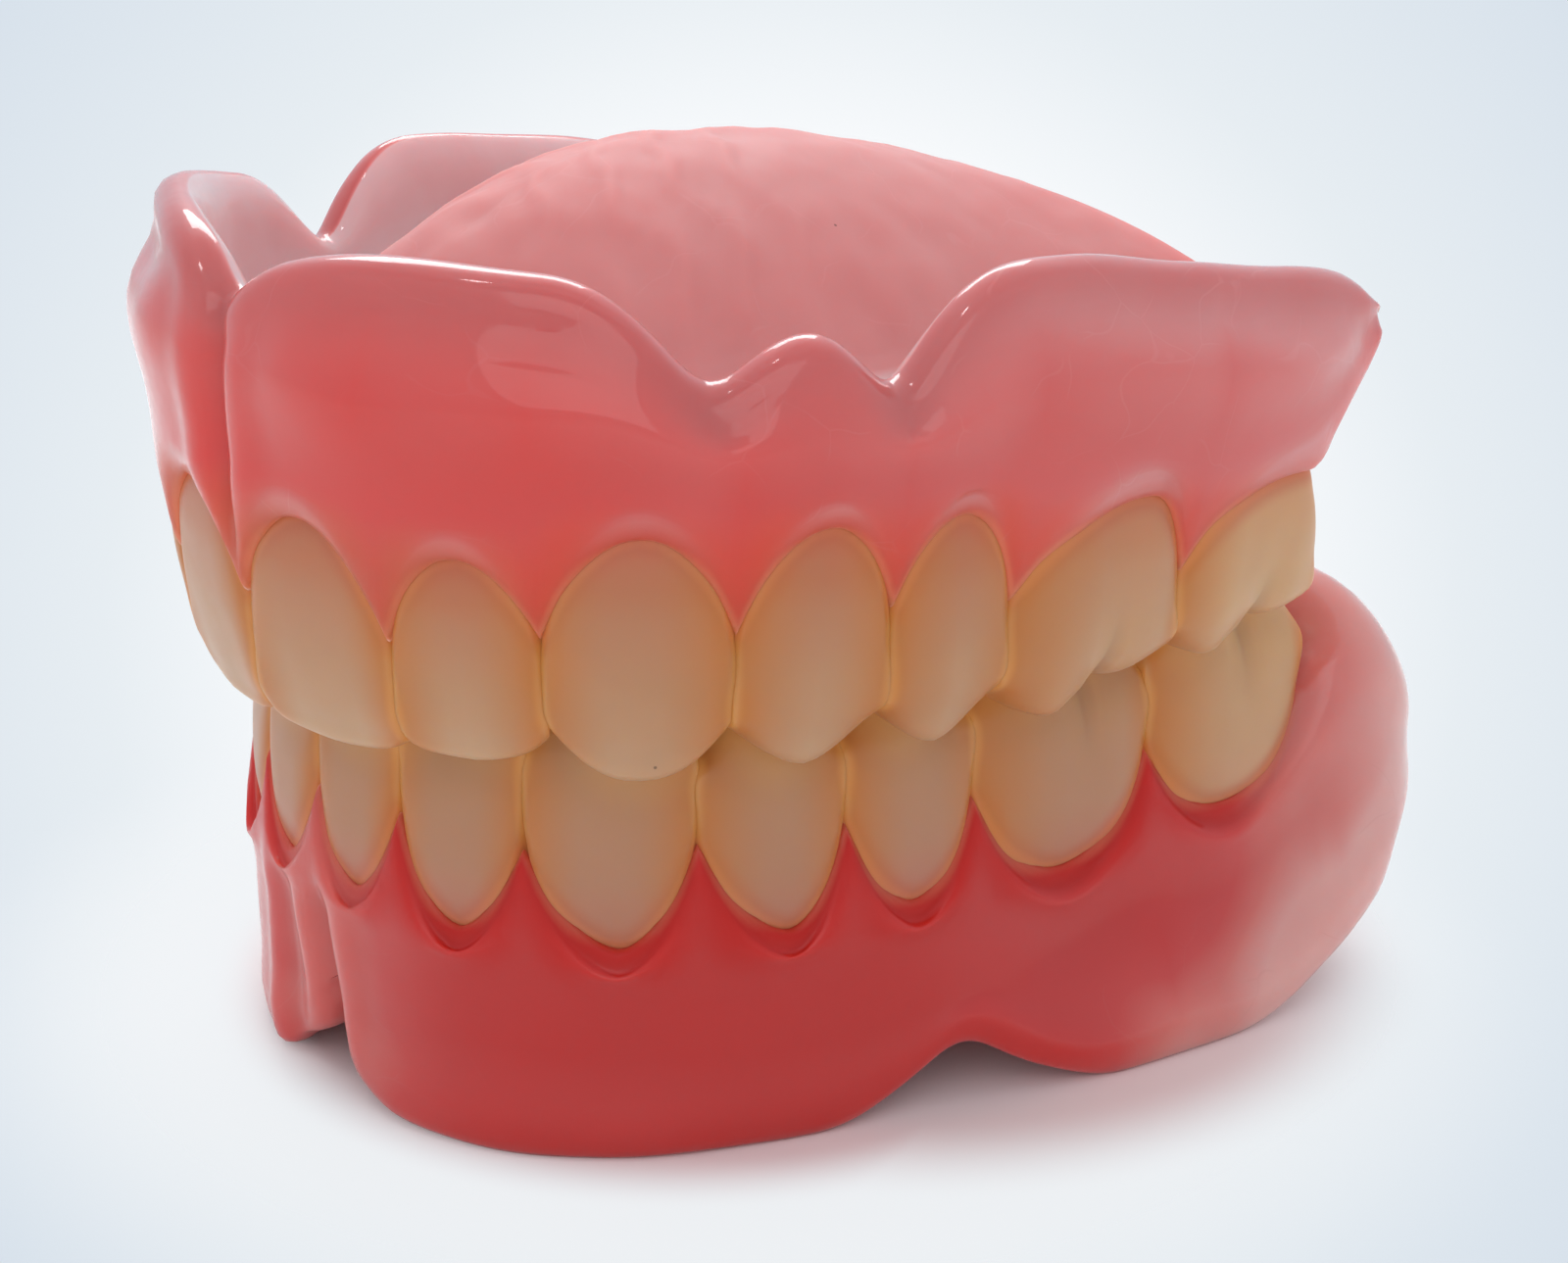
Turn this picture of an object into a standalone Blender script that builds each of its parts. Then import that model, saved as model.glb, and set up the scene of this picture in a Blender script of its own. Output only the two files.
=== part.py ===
# A full denture: an upper and a lower acrylic base, each with fourteen set teeth, closed on each other.
# X runs to the patient's left, Y to the back and Z up. The driving sizes are in millimetres, and each mesh
# is written in metres. Heights in the tables are measured from the biting plane.
#
# Each arch is a curve through the outer contact points of its teeth. A place on an arch is given by the
# distance along that curve from the midline, the distance out from it (negative towards the tongue) and
# the height. Both bases, their sockets and all the teeth are laid out in these arch coordinates.

import math

import bmesh
import bpy
import numpy as np

# Driving dimensions

METRES_PER_MILLIMETRE = 0.001
GAP = 0.3
ARCH_BEYOND_TEETH = 14.0
BITING_PLANE_HEIGHT = 19.5

# Upper arch
UPPER_FRONT = -26.0
UPPER_MIDLINE_PAPILLA = 6.0
UPPER_TEETH = [
    {"name": "central_incisor", "form": "incisor", "width": 8.6, "facing": 10.2, "tip": -0.1, "neck": 10.3,
     "depth": 6.6, "papilla": 5.6},
    {"name": "lateral_incisor", "form": "incisor", "width": 6.6, "facing": 31.0, "tip": 0.5, "neck": 9.7,
     "depth": 6.0, "papilla": 6.5},
    {"name": "canine", "form": "canine", "width": 7.8, "facing": 52.5, "tip": -0.1, "neck": 10.9,
     "depth": 7.4, "papilla": 6.6},
    {"name": "first_premolar", "form": "premolar", "width": 6.8, "facing": 71.0, "tip": -0.1, "neck": 10.9,
     "depth": 8.6, "papilla": 7.0},
    {"name": "second_premolar", "form": "premolar", "width": 6.6, "facing": 79.0, "tip": -0.1, "neck": 10.7,
     "depth": 8.8, "papilla": 6.3},
    {"name": "first_molar", "form": "molar", "width": 9.9, "facing": 83.0, "tip": -0.2, "neck": 9.9,
     "depth": 10.2, "papilla": 5.9},
    {"name": "second_molar", "form": "molar", "width": 9.4, "facing": 86.0, "tip": 0.8, "neck": 9.3,
     "depth": 9.8, "papilla": 8.6},
]

# Lower arch
LOWER_FRONT = -23.0
LOWER_MIDLINE_PAPILLA = -3.9
LOWER_TEETH = [
    {"name": "central_incisor", "form": "incisor", "width": 5.3, "facing": 8.0, "tip": 1.1, "neck": -8.0,
     "depth": 5.4, "papilla": -3.8},
    {"name": "lateral_incisor", "form": "incisor", "width": 6.0, "facing": 25.0, "tip": 1.2, "neck": -8.5,
     "depth": 5.6, "papilla": -4.5},
    {"name": "canine", "form": "canine", "width": 7.4, "facing": 46.5, "tip": 1.3, "neck": -8.9,
     "depth": 6.8, "papilla": -4.1},
    {"name": "first_premolar", "form": "premolar", "width": 6.8, "facing": 72.5, "tip": 0.9, "neck": -8.7,
     "depth": 7.6, "papilla": -4.2},
    {"name": "second_premolar", "form": "premolar", "width": 7.0, "facing": 83.0, "tip": 0.9, "neck": -8.7,
     "depth": 8.0, "papilla": -4.5},
    {"name": "first_molar", "form": "molar", "width": 10.5, "facing": 82.0, "tip": 0.9, "neck": -9.2,
     "depth": 9.8, "papilla": -4.5},
    {"name": "second_molar", "form": "molar", "width": 10.0, "facing": 82.0, "tip": 1.7, "neck": -8.3,
     "depth": 9.6, "papilla": -3.6},
]

# Crown forms. Each ring is (share of the crown's height from neck to tip, share of the width to each side,
# millimetres out from the contact line, share of the depth inwards, share of the tip's rise at its ends).
TOOTH_SIDES = 12
MOLAR_SIDES = 16
ROOT_LENGTH = 1.8
ROOT_HALF_WIDTH_SHARE = 0.27
CROWN_FORMS = {
    "incisor": {
        "rings": [
            (-0.04, 0.37, 0.75, 0.95, 0.0),
            (0.12, 0.42, 1.15, 1.0, 0.0),
            (0.38, 0.475, 1.2, 0.82, 0.0),
            (0.66, 0.5, 0.85, 0.5, 0.15),
            (0.9, 0.495, 0.3, 0.31, 0.6),
            (1.0, 0.455, -0.1, 0.19, 1.0),
        ],
        "rise": 0.45, "corner": 0.8, "taper": 0.36, "centre": None,
    },
    "canine": {
        "rings": [
            (-0.04, 0.36, 0.8, 0.95, 0.0),
            (0.12, 0.42, 1.3, 1.0, 0.0),
            (0.38, 0.48, 1.5, 0.86, 0.0),
            (0.64, 0.5, 1.2, 0.62, 0.2),
            (0.86, 0.48, 0.55, 0.38, 0.75),
            (1.0, 0.38, -0.1, 0.2, 1.0),
        ],
        "rise": 1.9, "corner": 0.88, "taper": 0.34, "centre": None,
    },
    "premolar": {
        "rings": [
            (-0.04, 0.39, 0.7, 0.93, 0.0),
            (0.16, 0.44, 1.25, 1.0, 0.0),
            (0.48, 0.495, 1.2, 1.01, 0.0),
            (0.8, 0.49, 0.55, 0.95, 0.2),
            (1.0, 0.38, -0.7, 0.83, 1.0),
            (0.95, 0.18, -2.5, 0.62, 0.45),
        ],
        "rise": 1.5, "corner": 0.85, "taper": 0.16, "centre": 0.82,
    },
    "molar": {
        "rings": [
            (-0.04, 0.4, 0.6, 0.93, 0.0),
            (0.16, 0.45, 1.2, 1.0, 0.0),
            (0.48, 0.495, 1.15, 1.02, 0.05),
            (0.8, 0.49, 0.5, 0.96, 0.25),
            (1.0, 0.4, -0.6, 0.85, 1.0),
            (0.94, 0.2, -2.8, 0.64, 0.4),
        ],
        "rise": 1.3, "corner": 0.72, "taper": 0.1, "centre": 0.83,
    },
}

# The surface where the back teeth meet: a wave across the arch, with its ridge over the lower outer cusps
BITE_WAVE_HEIGHT = 0.6
BITE_WAVE_WIDTH = 7.0
BITE_WAVE_RIDGE = -4.5
BITE_OUTER_LIMIT = -1.2
BITE_LEVEL = [(0.0, 0.5), (40.0, 0.5), (46.0, 0.8), (52.0, 1.5), (62.0, 1.6)]

# Gum margins
MARGIN_OUT_AT_TOOTH = 1.75
MARGIN_OUT_AT_PAPILLA = 0.55
MARGIN_ARC_FULLNESS = 2.2
COLLAR_OUT = 0.5
COLLAR_DEPTH = 1.0
UPPER_INNER_NECK_DROP = 3.2
LOWER_INNER_NECK_RISE = 2.4
SOCKET_FLOOR_DEPTH = 1.3
STATIONS_PER_TOOTH = 4
STATIONS_PER_MOLAR = 5

# Upper base: the border's height, how far out its flange and its rim lie, and the ridge trough
UPPER_BORDER_BACK = [(34.0, 20.6), (38.0, 20.9), (44.0, 20.1), (52.0, 18.9), (55.6, 17.9), (57.3, 16.8)]
UPPER_LEFT_BORDER = [
    (0.0, 18.8), (1.2, 19.7), (2.6, 20.6), (5.5, 21.3), (9.0, 21.6), (14.0, 21.3), (17.0, 20.9), (19.5, 19.2),
    (22.0, 16.7), (24.0, 18.2), (26.2, 18.9), (28.2, 17.4), (29.7, 15.9), (31.2, 18.2),
] + UPPER_BORDER_BACK
UPPER_RIGHT_BORDER = [
    (0.0, 18.8), (1.2, 19.7), (2.6, 20.8), (5.5, 21.6), (10.0, 22.0), (14.0, 22.0), (18.0, 21.5), (22.0, 20.8),
    (24.0, 20.3), (26.0, 19.2), (28.0, 17.4), (29.7, 15.9), (31.2, 17.9),
] + UPPER_BORDER_BACK
UPPER_NOTCH_STATION = 22.0
UPPER_FLANGE_OUT = [
    (0.0, 1.2), (1.2, 1.8), (4.0, 2.2), (14.0, 2.2), (20.0, 2.6), (26.0, 2.2), (32.0, 2.7), (44.0, 3.0),
    (52.0, 2.8), (57.3, 1.7),
]
UPPER_RIM_OUT = [
    (0.0, 0.2), (8.0, -0.4), (16.0, -0.3), (20.0, 0.1), (26.0, 0.6), (34.0, 0.6), (52.0, 0.8), (57.3, 0.4),
]
UPPER_RIM_THICKNESS = 2.4
UPPER_TROUGH_HEIGHT = [(0.0, 13.9), (44.0, 13.9), (50.0, 14.2), (54.0, 15.0), (57.3, 15.9)]
UPPER_END = [(0.0, 0.0), (55.6, 0.0), (56.6, 3.0), (57.3, 5.6)]

# Upper palate: height of its tissue side along the midline, from front to back, and its thickness
PALATE_RIDGE_LINE = [
    (-14.5, 20.4), (-11.0, 22.3), (-6.0, 23.4), (0.0, 23.6), (8.0, 22.5), (14.0, 21.0), (17.0, 19.9),
]
PALATE_THICKNESS = 2.3
PALATE_TOP_MEETS = [
    (0.0, -14.5), (8.6, -11.0), (15.2, -7.8), (23.0, -3.2), (36.4, 4.2), (46.3, 10.0), (57.3, 17.0),
]
PALATE_UNDER_MEETS = [
    (0.0, -8.0), (8.6, -6.6), (15.2, -4.6), (23.0, -1.4), (36.4, 4.8), (46.3, 10.2), (57.3, 17.0),
]
PALATE_CURVE = [(0.0, 1.3), (15.0, 1.6), (30.0, 2.0), (57.3, 2.0)]
PALATE_STEPS = 4

# Lower base: the two borders' heights above the surface it stands on, how far out the outer one lies, the
# channel and the ends
LOWER_END_STATIONS = [54.6, 56.4, 58.4, 60.2, 61.6, 62.6]
LOWER_BORDER = [
    (0.0, 3.9), (3.0, 2.3), (6.0, 1.1), (10.0, 0.5), (15.0, 0.0), (22.0, 0.0), (26.0, 0.3),
    (29.0, 1.9), (31.3, 3.5), (34.5, 1.7), (38.5, 0.2), (41.0, 0.0), (47.5, 0.0), (50.5, 0.4),
    (53.1, 1.9), (56.4, 4.6), (58.4, 6.3), (60.2, 7.7), (61.6, 9.1), (62.6, 10.7),
]
LOWER_BORDER_OUT = [
    (0.0, 0.4), (10.0, 0.7), (22.0, 0.7), (28.0, 1.5), (31.5, 2.4), (36.0, 3.6), (44.0, 4.4), (53.0, 4.2),
    (58.4, 3.2), (61.6, 1.4), (62.6, -0.6),
]
LOWER_INNER_BORDER = [
    (0.0, 1.7), (6.0, 0.9), (20.0, 1.5), (30.0, 1.1), (41.0, 0.0), (48.0, 0.0), (53.1, 1.5),
    (58.4, 5.7), (61.6, 8.7), (62.6, 10.5),
]
LOWER_CHANNEL_HEIGHT = [
    (0.0, -12.6), (44.0, -12.8), (50.0, -12.2), (53.1, -11.0), (56.4, -9.0), (58.4, -8.6), (60.2, -8.4),
    (61.6, -8.0), (62.6, -7.6),
]
LOWER_PAD_TOP = [(53.1, -1.6), (54.6, 1.2), (56.4, 1.4), (58.4, 0.2), (60.2, -1.6), (61.6, -3.8), (62.6, -6.2)]
LOWER_PAD_ANGLES = [
    35, 15, -5, -25, -45, -60, -70, -78, -84, -90, -96, -102, -110, -120, -135, -160, -190, -215, -240, -290,
]
LOWER_PAD_ROUNDS_FROM = 0.45
LOWER_RIM_THICKNESS = 2.2
LOWER_INNER_BORDER_IN = 2.0
LOWER_WAIST_OUT = 1.3

# Edges sharper than these angles, in degrees, stay sharp in the shading
GUM_EDGE_ANGLE = 50
TOOTH_EDGE_ANGLE = 40

# Colours
ACRYLIC_COLOUR = (0.56, 0.12, 0.11, 1.0)
TOOTH_COLOUR = (0.62, 0.47, 0.32, 1.0)
ACRYLIC_ROUGHNESS = 0.18
TOOTH_ROUGHNESS = 0.28


def along(points, place):
    """A smooth curve through the points of one table, read at one place. It is level at the midline."""
    places = [point[0] for point in points]
    values = [point[1] for point in points]
    if place <= places[0]:
        return values[0]
    if place >= places[-1]:
        return values[-1]
    right = next(index for index, known in enumerate(places) if known > place)
    left = right - 1
    before = max(left - 1, 0)
    after = min(right + 1, len(places) - 1)
    span = places[right] - places[left]
    share = (place - places[left]) / span
    slope_left = (values[right] - values[before]) / (places[right] - places[before]) * span
    if left == 0 and places[0] == 0.0:
        slope_left = 0.0
    slope_right = (values[after] - values[left]) / (places[after] - places[left]) * span
    square = share * share
    cube = square * share
    return (
        (2 * cube - 3 * square + 1) * values[left]
        + (cube - 2 * square + share) * slope_left
        + (3 * square - 2 * cube) * values[right]
        + (cube - square) * slope_right
    )


def mix(start, end, share):
    """The value at a share of the way from one value to another."""
    return start + (end - start) * share


class Arch:
    """One dental arch: the curve through its teeth's contact points and the gum margins along it."""

    def __init__(self, teeth, front, midline_papilla):
        self.teeth = teeth
        self.contacts = [0.0]
        for tooth in teeth:
            self.contacts.append(self.contacts[-1] + tooth["width"])
        self.papillae = [midline_papilla] + [tooth["papilla"] for tooth in teeth]
        self.centres = [(left + right) / 2 for left, right in zip(self.contacts, self.contacts[1:])]
        self.run = np.linspace(0.0, self.contacts[-1] + ARCH_BEYOND_TEETH, 1201)
        turns = [0.0] + [math.radians(tooth["facing"]) for tooth in teeth]
        self.heading = np.interp(self.run, [0.0] + self.centres, turns)
        step = self.run[1]
        cosines = np.cos(self.heading)
        sines = np.sin(self.heading)
        self.across = np.concatenate([[0.0], np.cumsum((cosines[1:] + cosines[:-1]) / 2 * step)])
        self.back = front + np.concatenate([[0.0], np.cumsum((sines[1:] + sines[:-1]) / 2 * step)])

    def point(self, distance, out, height):
        """The point at a distance along the patient's left half of the arch."""
        across = float(np.interp(distance, self.run, self.across))
        back = float(np.interp(distance, self.run, self.back))
        heading = float(np.interp(distance, self.run, self.heading))
        return (across + out * math.sin(heading), back - out * math.cos(heading), height)

    def place(self, across, back):
        """The arch distance and the distance out of a point in plan."""
        gap_across = abs(across) - self.across
        gap_back = back - self.back
        nearest = int(np.argmin(gap_across**2 + gap_back**2))
        heading = self.heading[nearest]
        out = gap_across[nearest] * math.sin(heading) - gap_back[nearest] * math.cos(heading)
        return self.run[nearest], out

    def tooth_at(self, distance):
        """The number of the tooth at an arch distance, and the share of its width passed there."""
        for number in range(len(self.teeth)):
            if distance <= self.contacts[number + 1] + 1e-6:
                share = (distance - self.contacts[number]) / self.teeth[number]["width"]
                return number, share
        return len(self.teeth) - 1, 1.0

    def arc_share(self, distance):
        """Nought at a contact between two teeth and one at the middle of a tooth."""
        share = self.tooth_at(distance)[1]
        return 1.0 - abs(2.0 * share - 1.0) ** MARGIN_ARC_FULLNESS

    def margin_height(self, distance):
        """The height of the outer gum margin, scalloped between the papillae and the necks."""
        number = self.tooth_at(distance)[0]
        papilla = float(np.interp(distance, self.contacts, self.papillae))
        return mix(papilla, self.teeth[number]["neck"], self.arc_share(distance))

    def depth(self, distance):
        """The depth of the teeth from outer to inner face, smoothed along the arch."""
        return float(np.interp(distance, self.centres, [tooth["depth"] for tooth in self.teeth]))

    def stations(self, extra):
        """Arch distances of the base's cross-sections, evenly spread over each tooth."""
        marks = [0.0]
        for number, tooth in enumerate(self.teeth):
            count = STATIONS_PER_MOLAR if tooth["form"] == "molar" else STATIONS_PER_TOOTH
            for step in range(1, count + 1):
                marks.append(self.contacts[number] + tooth["width"] * step / count)
        return sorted(marks + extra)


UPPER_ARCH = Arch(UPPER_TEETH, UPPER_FRONT, UPPER_MIDLINE_PAPILLA)
LOWER_ARCH = Arch(LOWER_TEETH, LOWER_FRONT, LOWER_MIDLINE_PAPILLA)


def bite_height(across, back):
    """The height of the surface where upper and lower back teeth meet."""
    distance, out = UPPER_ARCH.place(across, back)
    wave = math.cos(2 * math.pi * (out - BITE_WAVE_RIDGE) / BITE_WAVE_WIDTH)
    return along(BITE_LEVEL, distance) + BITE_WAVE_HEIGHT * wave


def material(name, colour, roughness):
    """A plain dielectric material."""
    made = bpy.data.materials.new(name)
    made.use_nodes = True
    shader = made.node_tree.nodes["Principled BSDF"]
    shader.inputs["Base Color"].default_value = colour
    shader.inputs["Roughness"].default_value = roughness
    shader.inputs["Metallic"].default_value = 0.0
    made.diffuse_color = colour
    return made


def to_metres(point, side=1):
    """A point in millimetres from the biting plane, in metres from the same plane."""
    across, back, height = point
    return (
        side * across * METRES_PER_MILLIMETRE,
        (back - MIDDLE_BACK) * METRES_PER_MILLIMETRE,
        height * METRES_PER_MILLIMETRE,
    )


def add_object(name, shape, finish, smooth_below):
    """Turn a bmesh into a named object with its material, lifted to the biting plane."""
    bmesh.ops.recalc_face_normals(shape, faces=shape.faces)
    mesh = bpy.data.meshes.new(name)
    shape.to_mesh(mesh)
    shape.free()
    mesh.shade_smooth()
    mesh.set_sharp_from_angle(angle=math.radians(smooth_below))
    made = bpy.data.objects.new(name, mesh)
    made.location.z = BITING_PLANE_HEIGHT * METRES_PER_MILLIMETRE
    made.data.materials.append(finish)
    bpy.context.collection.objects.link(made)
    return made


def ring_shape(form, angle):
    """How far a ring's point rises from the tips: nought at a cusp and one between cusps."""
    if form == "premolar":
        return (1 + math.cos(2 * angle)) / 2
    if form == "molar":
        return (1 + math.cos(4 * angle)) / 2 * (0.6 + 0.4 * math.cos(angle) ** 2)
    power = 3.0 if form == "incisor" else 1.15
    return abs(math.cos(angle)) ** power


def tooth_rings(arch, number):
    """The rings of one tooth on the left half of an arch, from its root to its biting face."""
    tooth = arch.teeth[number]
    form = CROWN_FORMS[tooth["form"]]
    upwards = 1 if tooth["neck"] > tooth["tip"] else -1
    start = arch.point(arch.contacts[number], 0.0, 0.0)
    end = arch.point(arch.contacts[number + 1], 0.0, 0.0)
    heading = math.atan2(end[1] - start[1], end[0] - start[0])
    middle = (mix(start[0], end[0], 0.5), mix(start[1], end[1], 0.5))
    length = math.hypot(end[0] - start[0], end[1] - start[1]) - GAP
    bites_back = tooth["form"] in ("premolar", "molar")

    def place(sideways, out, height):
        across = middle[0] + sideways * math.cos(heading) + out * math.sin(heading)
        back = middle[1] + sideways * math.sin(heading) - out * math.cos(heading)
        if bites_back:
            limit = bite_height(across, back)
            inside = UPPER_ARCH.place(across, back)[1] < BITE_OUTER_LIMIT
            if upwards > 0 and inside:
                height = max(height, limit + GAP / 2)
            if upwards < 0:
                height = min(height, limit - GAP / 2)
        return (across, back, height)

    root_height = tooth["neck"] + upwards * ROOT_LENGTH
    root_half = ROOT_HALF_WIDTH_SHARE * length
    rings = []
    sides = MOLAR_SIDES if tooth["form"] == "molar" else TOOTH_SIDES
    angles = [2 * math.pi * step / sides for step in range(sides)]
    root = []
    for angle in angles:
        out = mix(-0.8, -0.75 * tooth["depth"], (1 - math.sin(angle)) / 2)
        root.append(place(root_half * math.cos(angle), out, root_height))
    rings.append(root)
    for share, half, outer, inner, rise in form["rings"]:
        ring = []
        for angle in angles:
            cosine = math.cos(angle)
            sine = math.sin(angle)
            sideways = math.copysign(abs(cosine) ** form["corner"], cosine) * half * length
            sideways *= 1 - form["taper"] * max(0.0, -sine)
            if sine >= 0:
                out = outer * sine ** form["corner"]
                if outer < 0:
                    out = mix(mix(outer, -inner * tooth["depth"], 0.5), outer, sine ** form["corner"])
            else:
                waist = 0.0 if outer >= 0 else mix(outer, -inner * tooth["depth"], 0.5)
                out = mix(waist, -inner * tooth["depth"], (-sine) ** form["corner"])
            height = mix(tooth["neck"], tooth["tip"], share)
            height += upwards * form["rise"] * rise * ring_shape(tooth["form"], angle)
            ring.append(place(sideways, out, height))
        rings.append(ring)
    centre = None
    if form["centre"] is not None:
        centre = place(0.0, -0.5 * tooth["depth"], mix(tooth["neck"], tooth["tip"], form["centre"]))
    return rings, centre


def tooth_mesh(arch, number, side, grow=0.0):
    """One tooth as a closed bmesh, grown outwards where it cuts its own socket."""
    rings, centre = tooth_rings(arch, number)
    shape = bmesh.new()
    loops = [[shape.verts.new(to_metres(point, side)) for point in ring] for ring in rings]
    sides = len(loops[0])
    for lower, upper in zip(loops, loops[1:]):
        for step in range(sides):
            following = (step + 1) % sides
            shape.faces.new((lower[step], lower[following], upper[following], upper[step]))
    shape.faces.new(loops[0])
    if centre is None:
        shape.faces.new(loops[-1])
    else:
        peak = shape.verts.new(to_metres(centre, side))
        for step in range(sides):
            shape.faces.new((loops[-1][step], loops[-1][(step + 1) % sides], peak))
    bmesh.ops.recalc_face_normals(shape, faces=shape.faces)
    if grow:
        bmesh.ops.triangulate(shape, faces=shape.faces)
        shape.normal_update()
        for vertex in shape.verts:
            vertex.co += vertex.normal * vertex.calc_shell_factor() * grow * METRES_PER_MILLIMETRE
    return shape


def upper_section(distance, border):
    """Half a cross-section of the upper base: its outer and tissue side, then its under side."""
    arch = UPPER_ARCH
    depth = arch.depth(distance)
    arc = arch.arc_share(distance)
    end_lift = along(UPPER_END, distance)
    margin = arch.margin_height(distance) + end_lift
    rim = along(border, distance)
    flange = along(UPPER_FLANGE_OUT, distance) + 0.2 * (arc - 0.5)
    rim_out = along(UPPER_RIM_OUT, distance)
    trough = along(UPPER_TROUGH_HEIGHT, distance)
    edge = mix(MARGIN_OUT_AT_PAPILLA, MARGIN_OUT_AT_TOOTH, arc)
    edge = mix(edge, 1.4, min(1.0, end_lift / 3.0))
    half = UPPER_RIM_THICKNESS / 2
    tissue_out = rim_out - half
    outline = [
        (edge, margin),
        (edge + COLLAR_OUT, margin + COLLAR_DEPTH),
        (mix(edge + COLLAR_OUT, flange, 0.6), mix(margin + COLLAR_DEPTH, rim, 0.3)),
        (flange, mix(margin + COLLAR_DEPTH, rim, 0.6)),
        (rim_out + half, rim - 0.14 * (rim - margin)),
        (rim_out + 0.6 * half, rim - 0.35),
        (rim_out - 0.2 * half, rim),
        (tissue_out, mix(rim, trough, 0.16)),
        (tissue_out - 0.4, mix(rim, trough, 0.6)),
        (tissue_out - 0.14 * depth, mix(rim, trough, 0.92)),
        (-0.52 * depth, trough),
        (-0.86 * depth, trough + 0.9),
    ]
    top = [arch.point(distance, out, height) for out, height in outline]
    floor = margin + SOCKET_FLOOR_DEPTH
    inner = margin - UPPER_INNER_NECK_DROP * arc
    under_outline = [
        (edge - 0.5, margin + 0.1),
        (-0.2 * depth, min(floor, trough - 1.6)),
        (-0.75 * depth, min(floor, trough - 1.6)),
        (-depth - 0.2, inner + 0.2),
        (-depth - 0.9, inner),
        (-depth - 1.5, inner + 1.1),
    ]
    under = [arch.point(distance, out, height) for out, height in under_outline]
    curve = along(PALATE_CURVE, distance)
    top_back = along(PALATE_TOP_MEETS, distance)
    under_back = along(PALATE_UNDER_MEETS, distance)
    top += palate_run(top[-1], top_back, along(PALATE_RIDGE_LINE, top_back), curve)
    under += palate_run(under[-1], under_back, along(PALATE_RIDGE_LINE, under_back) - PALATE_THICKNESS, curve)
    return top, under


def palate_run(start, back, height, curve):
    """Points from the inner edge of the trough or margin to the midline of the palate."""
    run = []
    for step in range(1, PALATE_STEPS + 1):
        share = step / PALATE_STEPS
        rise = 1 - (1 - share) ** curve
        run.append((start[0] * (1 - share), mix(start[1], back, share), mix(start[2], height, rise)))
    return run


def upper_base_mesh():
    """The upper base, lofted from the midline section to the back border on both sides at once."""
    shape = bmesh.new()
    marks = UPPER_ARCH.stations([UPPER_NOTCH_STATION, UPPER_END[-2][0], UPPER_END[-1][0]])
    rows = {1: [], -1: []}
    middle = [
        [shape.verts.new(to_metres((0.0, point[1], point[2]))) for point in path]
        for path in upper_section(0.0, UPPER_LEFT_BORDER)
    ]
    rows[1].append(middle)
    rows[-1].append(middle)
    for distance in marks[1:]:
        shared = None
        for side, border in ((1, UPPER_LEFT_BORDER), (-1, UPPER_RIGHT_BORDER)):
            top, under = upper_section(distance, border)
            if shared is None:
                shared = [shape.verts.new(to_metres(path[-1])) for path in (top, under)]
            rows[side].append([
                [shape.verts.new(to_metres(point, side)) for point in path[:-1]] + [meeting]
                for path, meeting in zip((top, under), shared)
            ])
    for side in (1, -1):
        for (top, under), (next_top, next_under) in zip(rows[side], rows[side][1:]):
            for path, following in ((top, next_top), (under, next_under)):
                for step in range(len(path) - 1):
                    corners = [path[step], path[step + 1], following[step + 1], following[step]]
                    shape.faces.new(list(dict.fromkeys(corners)))
            shape.faces.new((top[0], next_top[0], next_under[0], under[0]))
    left_top, left_under = rows[1][-1]
    right_top, right_under = rows[-1][-1]
    border = left_top + right_top[-2::-1] + right_under + left_under[-2::-1]
    shape.faces.new(border)
    return shape


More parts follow.
